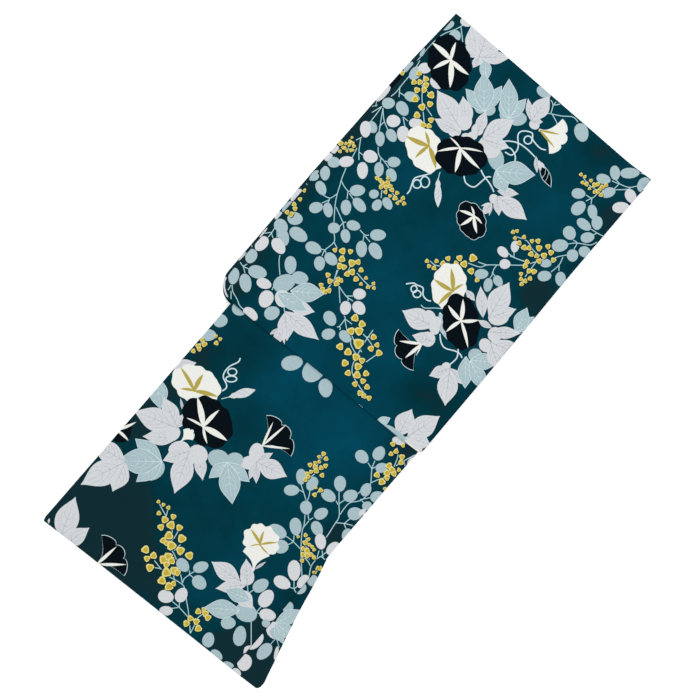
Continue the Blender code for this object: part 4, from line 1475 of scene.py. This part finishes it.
back_panel = printed_cloth("back_panel", back_outline, back_place, body_print, back_lines,
                           node="body_left_back")

# %% [markdown]
# The front is wider than the back from the hip down. Past the side seam it shows as a strip
# that flares out, and rolls over the edge of the stack.

# %% The strip's print
# The front's print doesn't run on from the back's across the seam. Places in millimetres.
STRIP_SAGE = [(337, 671, 15, 14, 70), (331, 689, 17, 16, 90), (336, 718, 16, 13, 75),
              (350, 780.5, 25, 16, 90), (348, 753, 21, 14, 0)]
STRIP_LAVENDER = [(332, 778, 27, 17, 90), (340, 808, 22, 19, 60), (341, 825, 14, 11, 0),
                  (342, 752, 24, 19, 20), (363, 772, 18, 5, 62)]
STRIP_LEAF = [("sage", 337, 744, (353, 708, 0.45), (372, 740, 0.46), (362, 757, 0.4))]
STRIP_STEMS = [[(350, 760), (350, 768)], [(350, 757), (356, 761), (361, 764)],
               [(332, 664), (334, 656)]]
LOWER_HALF = 840.0
STRIP_PRINT = (drawn_all(vine, STRIP_STEMS) + drawn_all(oval, STRIP_LAVENDER, "lavender")
               + drawn_all(oval, STRIP_SAGE, "sage") + drawn_all(leaf, STRIP_LEAF)
               + berry(334, 653, 7) + berry(333, 661, 4))
print("strip print:", len(STRIP_PRINT), "outlines")

# %% Front strip
STRIP_START = 640.0
STRIP_END, STRIP_CORNER, STRIP_STEP = 812, 815, 9
FRONT_FLANGE = 0.8
# the crosswise fold is known up to here, and past it the strip is only moved sideways
FOLD_KNOWN = 0.376
SEAM_CLEAR = 30
LEAST_ROLL = 0.05
STRIP_REACH = (332, 384)
STRIP_PRINT_SHIFT = (40, 260)


def strip_roll(down):
    """Outer edge and roll of the strip at a distance from the shoulder."""
    edge = rule_mm(outer_edge, down)
    wide = edge - rule_mm(side_seam, down)
    return edge, roll * min(max(wide / (2 * roll), LEAST_ROLL), 1.0)


def strip_down(s, t):
    return down_of(s * MM, t * MM) / MM


def strip_place(s, t):
    edge, radius = strip_roll(strip_down(s, t))
    across = min(s, edge - radius) * MM
    deep = 0.0
    past = s - (edge - radius)
    if past > 0:
        angle = min(past / radius, math.pi / 2)
        across += radius * math.sin(angle) * MM
        deep = (radius * (1 - math.cos(angle)) + max(past - radius * math.pi / 2, 0.0)) * MM
    to_seam = s - (side_seam(strip_down(s, t) * MM) + GAP / 2) / MM
    deep += curl(to_seam, SEAM_EDGE) * MM
    placed = on_body(min(across, FOLD_KNOWN), t * MM, deep)
    placed.x += across - min(across, FOLD_KNOWN)
    placed.x -= fold_pull(across, t * MM) * ease(to_seam / SEAM_CLEAR)
    return placed


def both_halves(edge_at, first, step):
    """An edge of the strip on the upper half, round the fold, and on the lower half."""
    upper = [(edge_at(down), down) for down in span(first, STRIP_END, step)]
    end = edge_at(STRIP_CORNER)
    turn = [fold_place(end, n) for n in range(FOLD_STEPS + 1)]
    lower = [(s, on_lower(s, down)) for s, down in reversed(upper)]
    return upper + turn + lower


def strip_edge(share):
    def edge_at(down):
        edge, radius = strip_roll(down)
        full = radius * math.pi / 2
        return edge - radius + full * min(share, 1.0) + FRONT_FLANGE * max(share - 1.0, 0.0)
    return both_halves(edge_at, STRIP_START, STRIP_STEP)


def strip_seam(inset):
    return both_halves(lambda down: (side_seam(down * MM) + GAP / 2) / MM + inset,
                       STRIP_START, STRIP_STEP)


strip_outline = strip_seam(0.0) + strip_edge(2.0)[::-1]
strip_lines = fold_lines(*STRIP_REACH)
strip_lines += [strip_edge(n / ROLL_STEPS) for n in range(ROLL_STEPS + 1)]
strip_lines += [strip_seam(SEAM_EDGE * share) for share in EDGE_STEPS]
strip_print = STRIP_PRINT + [(ink, polygon)
                             for ink, polygon in on_cloth(BODY_PRINT, *STRIP_PRINT_SHIFT)
                             if min(p[1] for p in polygon) > LOWER_HALF]
front_strip = printed_cloth("front_strip", strip_outline, strip_place, strip_print,
                            strip_lines, node="body_left_front")

# %% [markdown]
# ## What lies inside
# The right half, the overlaps and the inner front are folded in between. They only show as
# edges, one inside the other, each set back a little.

# %% Hidden layers and neck band
HIDDEN_LEFT = [1.0, 3.2, 0.4, 2.2]
HIDDEN_RIGHT = [0.0, 1.6, 3.0, 0.8]
HIDDEN_END = [2.0, 7.0, 3.5, 9.0]
HIDDEN_STEP, HIDDEN_CELL = 14, 20.0
FIRST_DEPTH = 1.5 * MM
HIDDEN_INSET = 1.5
HIDDEN_REACH = 382
LEAFLET_SHIFT = (12, 200)
# how far a layer's right edge stays inside the strip's, beside the flare and above it
INSIDE_FLARE, INSIDE_SEAM = 1.6, 0.4
COLLAR_LENGTH = 95.0
COLLAR_WIDTH = 58.0


def hidden_cloth(number):
    deep = FIRST_DEPTH + number * HIDDEN_LAYER
    inset, right_inset, end = (column[number] for column in
                               (HIDDEN_LEFT, HIDDEN_RIGHT, HIDDEN_END))
    left = PANEL_LEFT / MM + HIDDEN_INSET + inset
    notch = PANEL_LEFT / MM + COLLAR_LENGTH + 1
    start = SHOULDER_SETBACK + end

    def edge_at(down):
        return rule_mm(outer_edge, down) - (
            INSIDE_FLARE if down > FLARE_START else INSIDE_SEAM) - right_inset

    right = both_halves(edge_at, start, HIDDEN_STEP)
    right = [p for p in right if p[1] < on_lower(p[0], HEM_SETBACK + end)]
    last = on_lower(BODY_RIGHT, HEM_SETBACK + end)
    left_last = on_lower(left, HEM_SETBACK + end)
    outline = [(notch, start), (notch, COLLAR_WIDTH + end)]
    outline += [(left, t) for t in span(COLLAR_WIDTH + end, left_last, HIDDEN_STEP)]
    outline += [(BODY_RIGHT - right_inset, last)] + right[::-1]

    def place(s, t):
        return on_body(s * MM, t * MM, deep)

    leaflets = on_cloth(drawn_all(oval, SLEEVE_SAGE_OVALS, "sage"),
                        *(shift * number for shift in LEAFLET_SHIFT))
    cloth = printed_cloth(f"hidden_layer_{number + 1}", outline, place, leaflets,
                          fold_lines(left - 1, HIDDEN_REACH),
                          None if number else "folded_layers", HIDDEN_CELL)


for number in range(4):
    hidden_cloth(number)

BAND_TURN = 0.55
BAND_RISE = 0.15
NOTCH_CLEAR = 0.3
BAND_INSET = 1.5
BAND_PRINT_DOWN = -150
band_near = SHOULDER_SETBACK + BAND_INSET
band_flat = COLLAR_WIDTH - NOTCH_CLEAR - band_near - 2 * BAND_TURN
band_step = band_flat + math.pi * BAND_TURN


def band_place(s, t):
    """The neck band lies in four layers, folded back and forth."""
    number = int(min(t // band_step, 3))
    rest = t - number * band_step
    turn = max(rest - band_flat, 0.0) / BAND_TURN
    flat = min(rest, band_flat)
    at = flat + BAND_TURN * math.sin(turn)
    from_far, from_near = COLLAR_WIDTH - NOTCH_CLEAR - BAND_TURN - at, band_near + BAND_TURN + at
    down = from_far if number % 2 == 0 else from_near
    rise = number * 2 * BAND_TURN + BAND_TURN * (1 - math.cos(turn)) + BAND_RISE
    return cloth_place(s * MM, down * MM, FOLD_HALF + lift(down * MM) + rise * MM)


band_left, band_right = PANEL_LEFT / MM + 2.0, PANEL_LEFT / MM + COLLAR_LENGTH - 0.5
band_end = 3 * band_step + band_flat
band_lines = [[(s, n * band_step + band_flat + math.pi * BAND_TURN * k / TURN_STEPS)
               for s in span(band_left, band_right, 10)]
              for n in range(3) for k in range(TURN_STEPS + 1)]
neck_band = printed_cloth(
    "neck_band", [(band_left, 0), (band_right, 0), (band_right, band_end), (band_left, band_end)],
    band_place, on_cloth(SLEEVE_PRINT, 0, BAND_PRINT_DOWN), band_lines, node="collar")
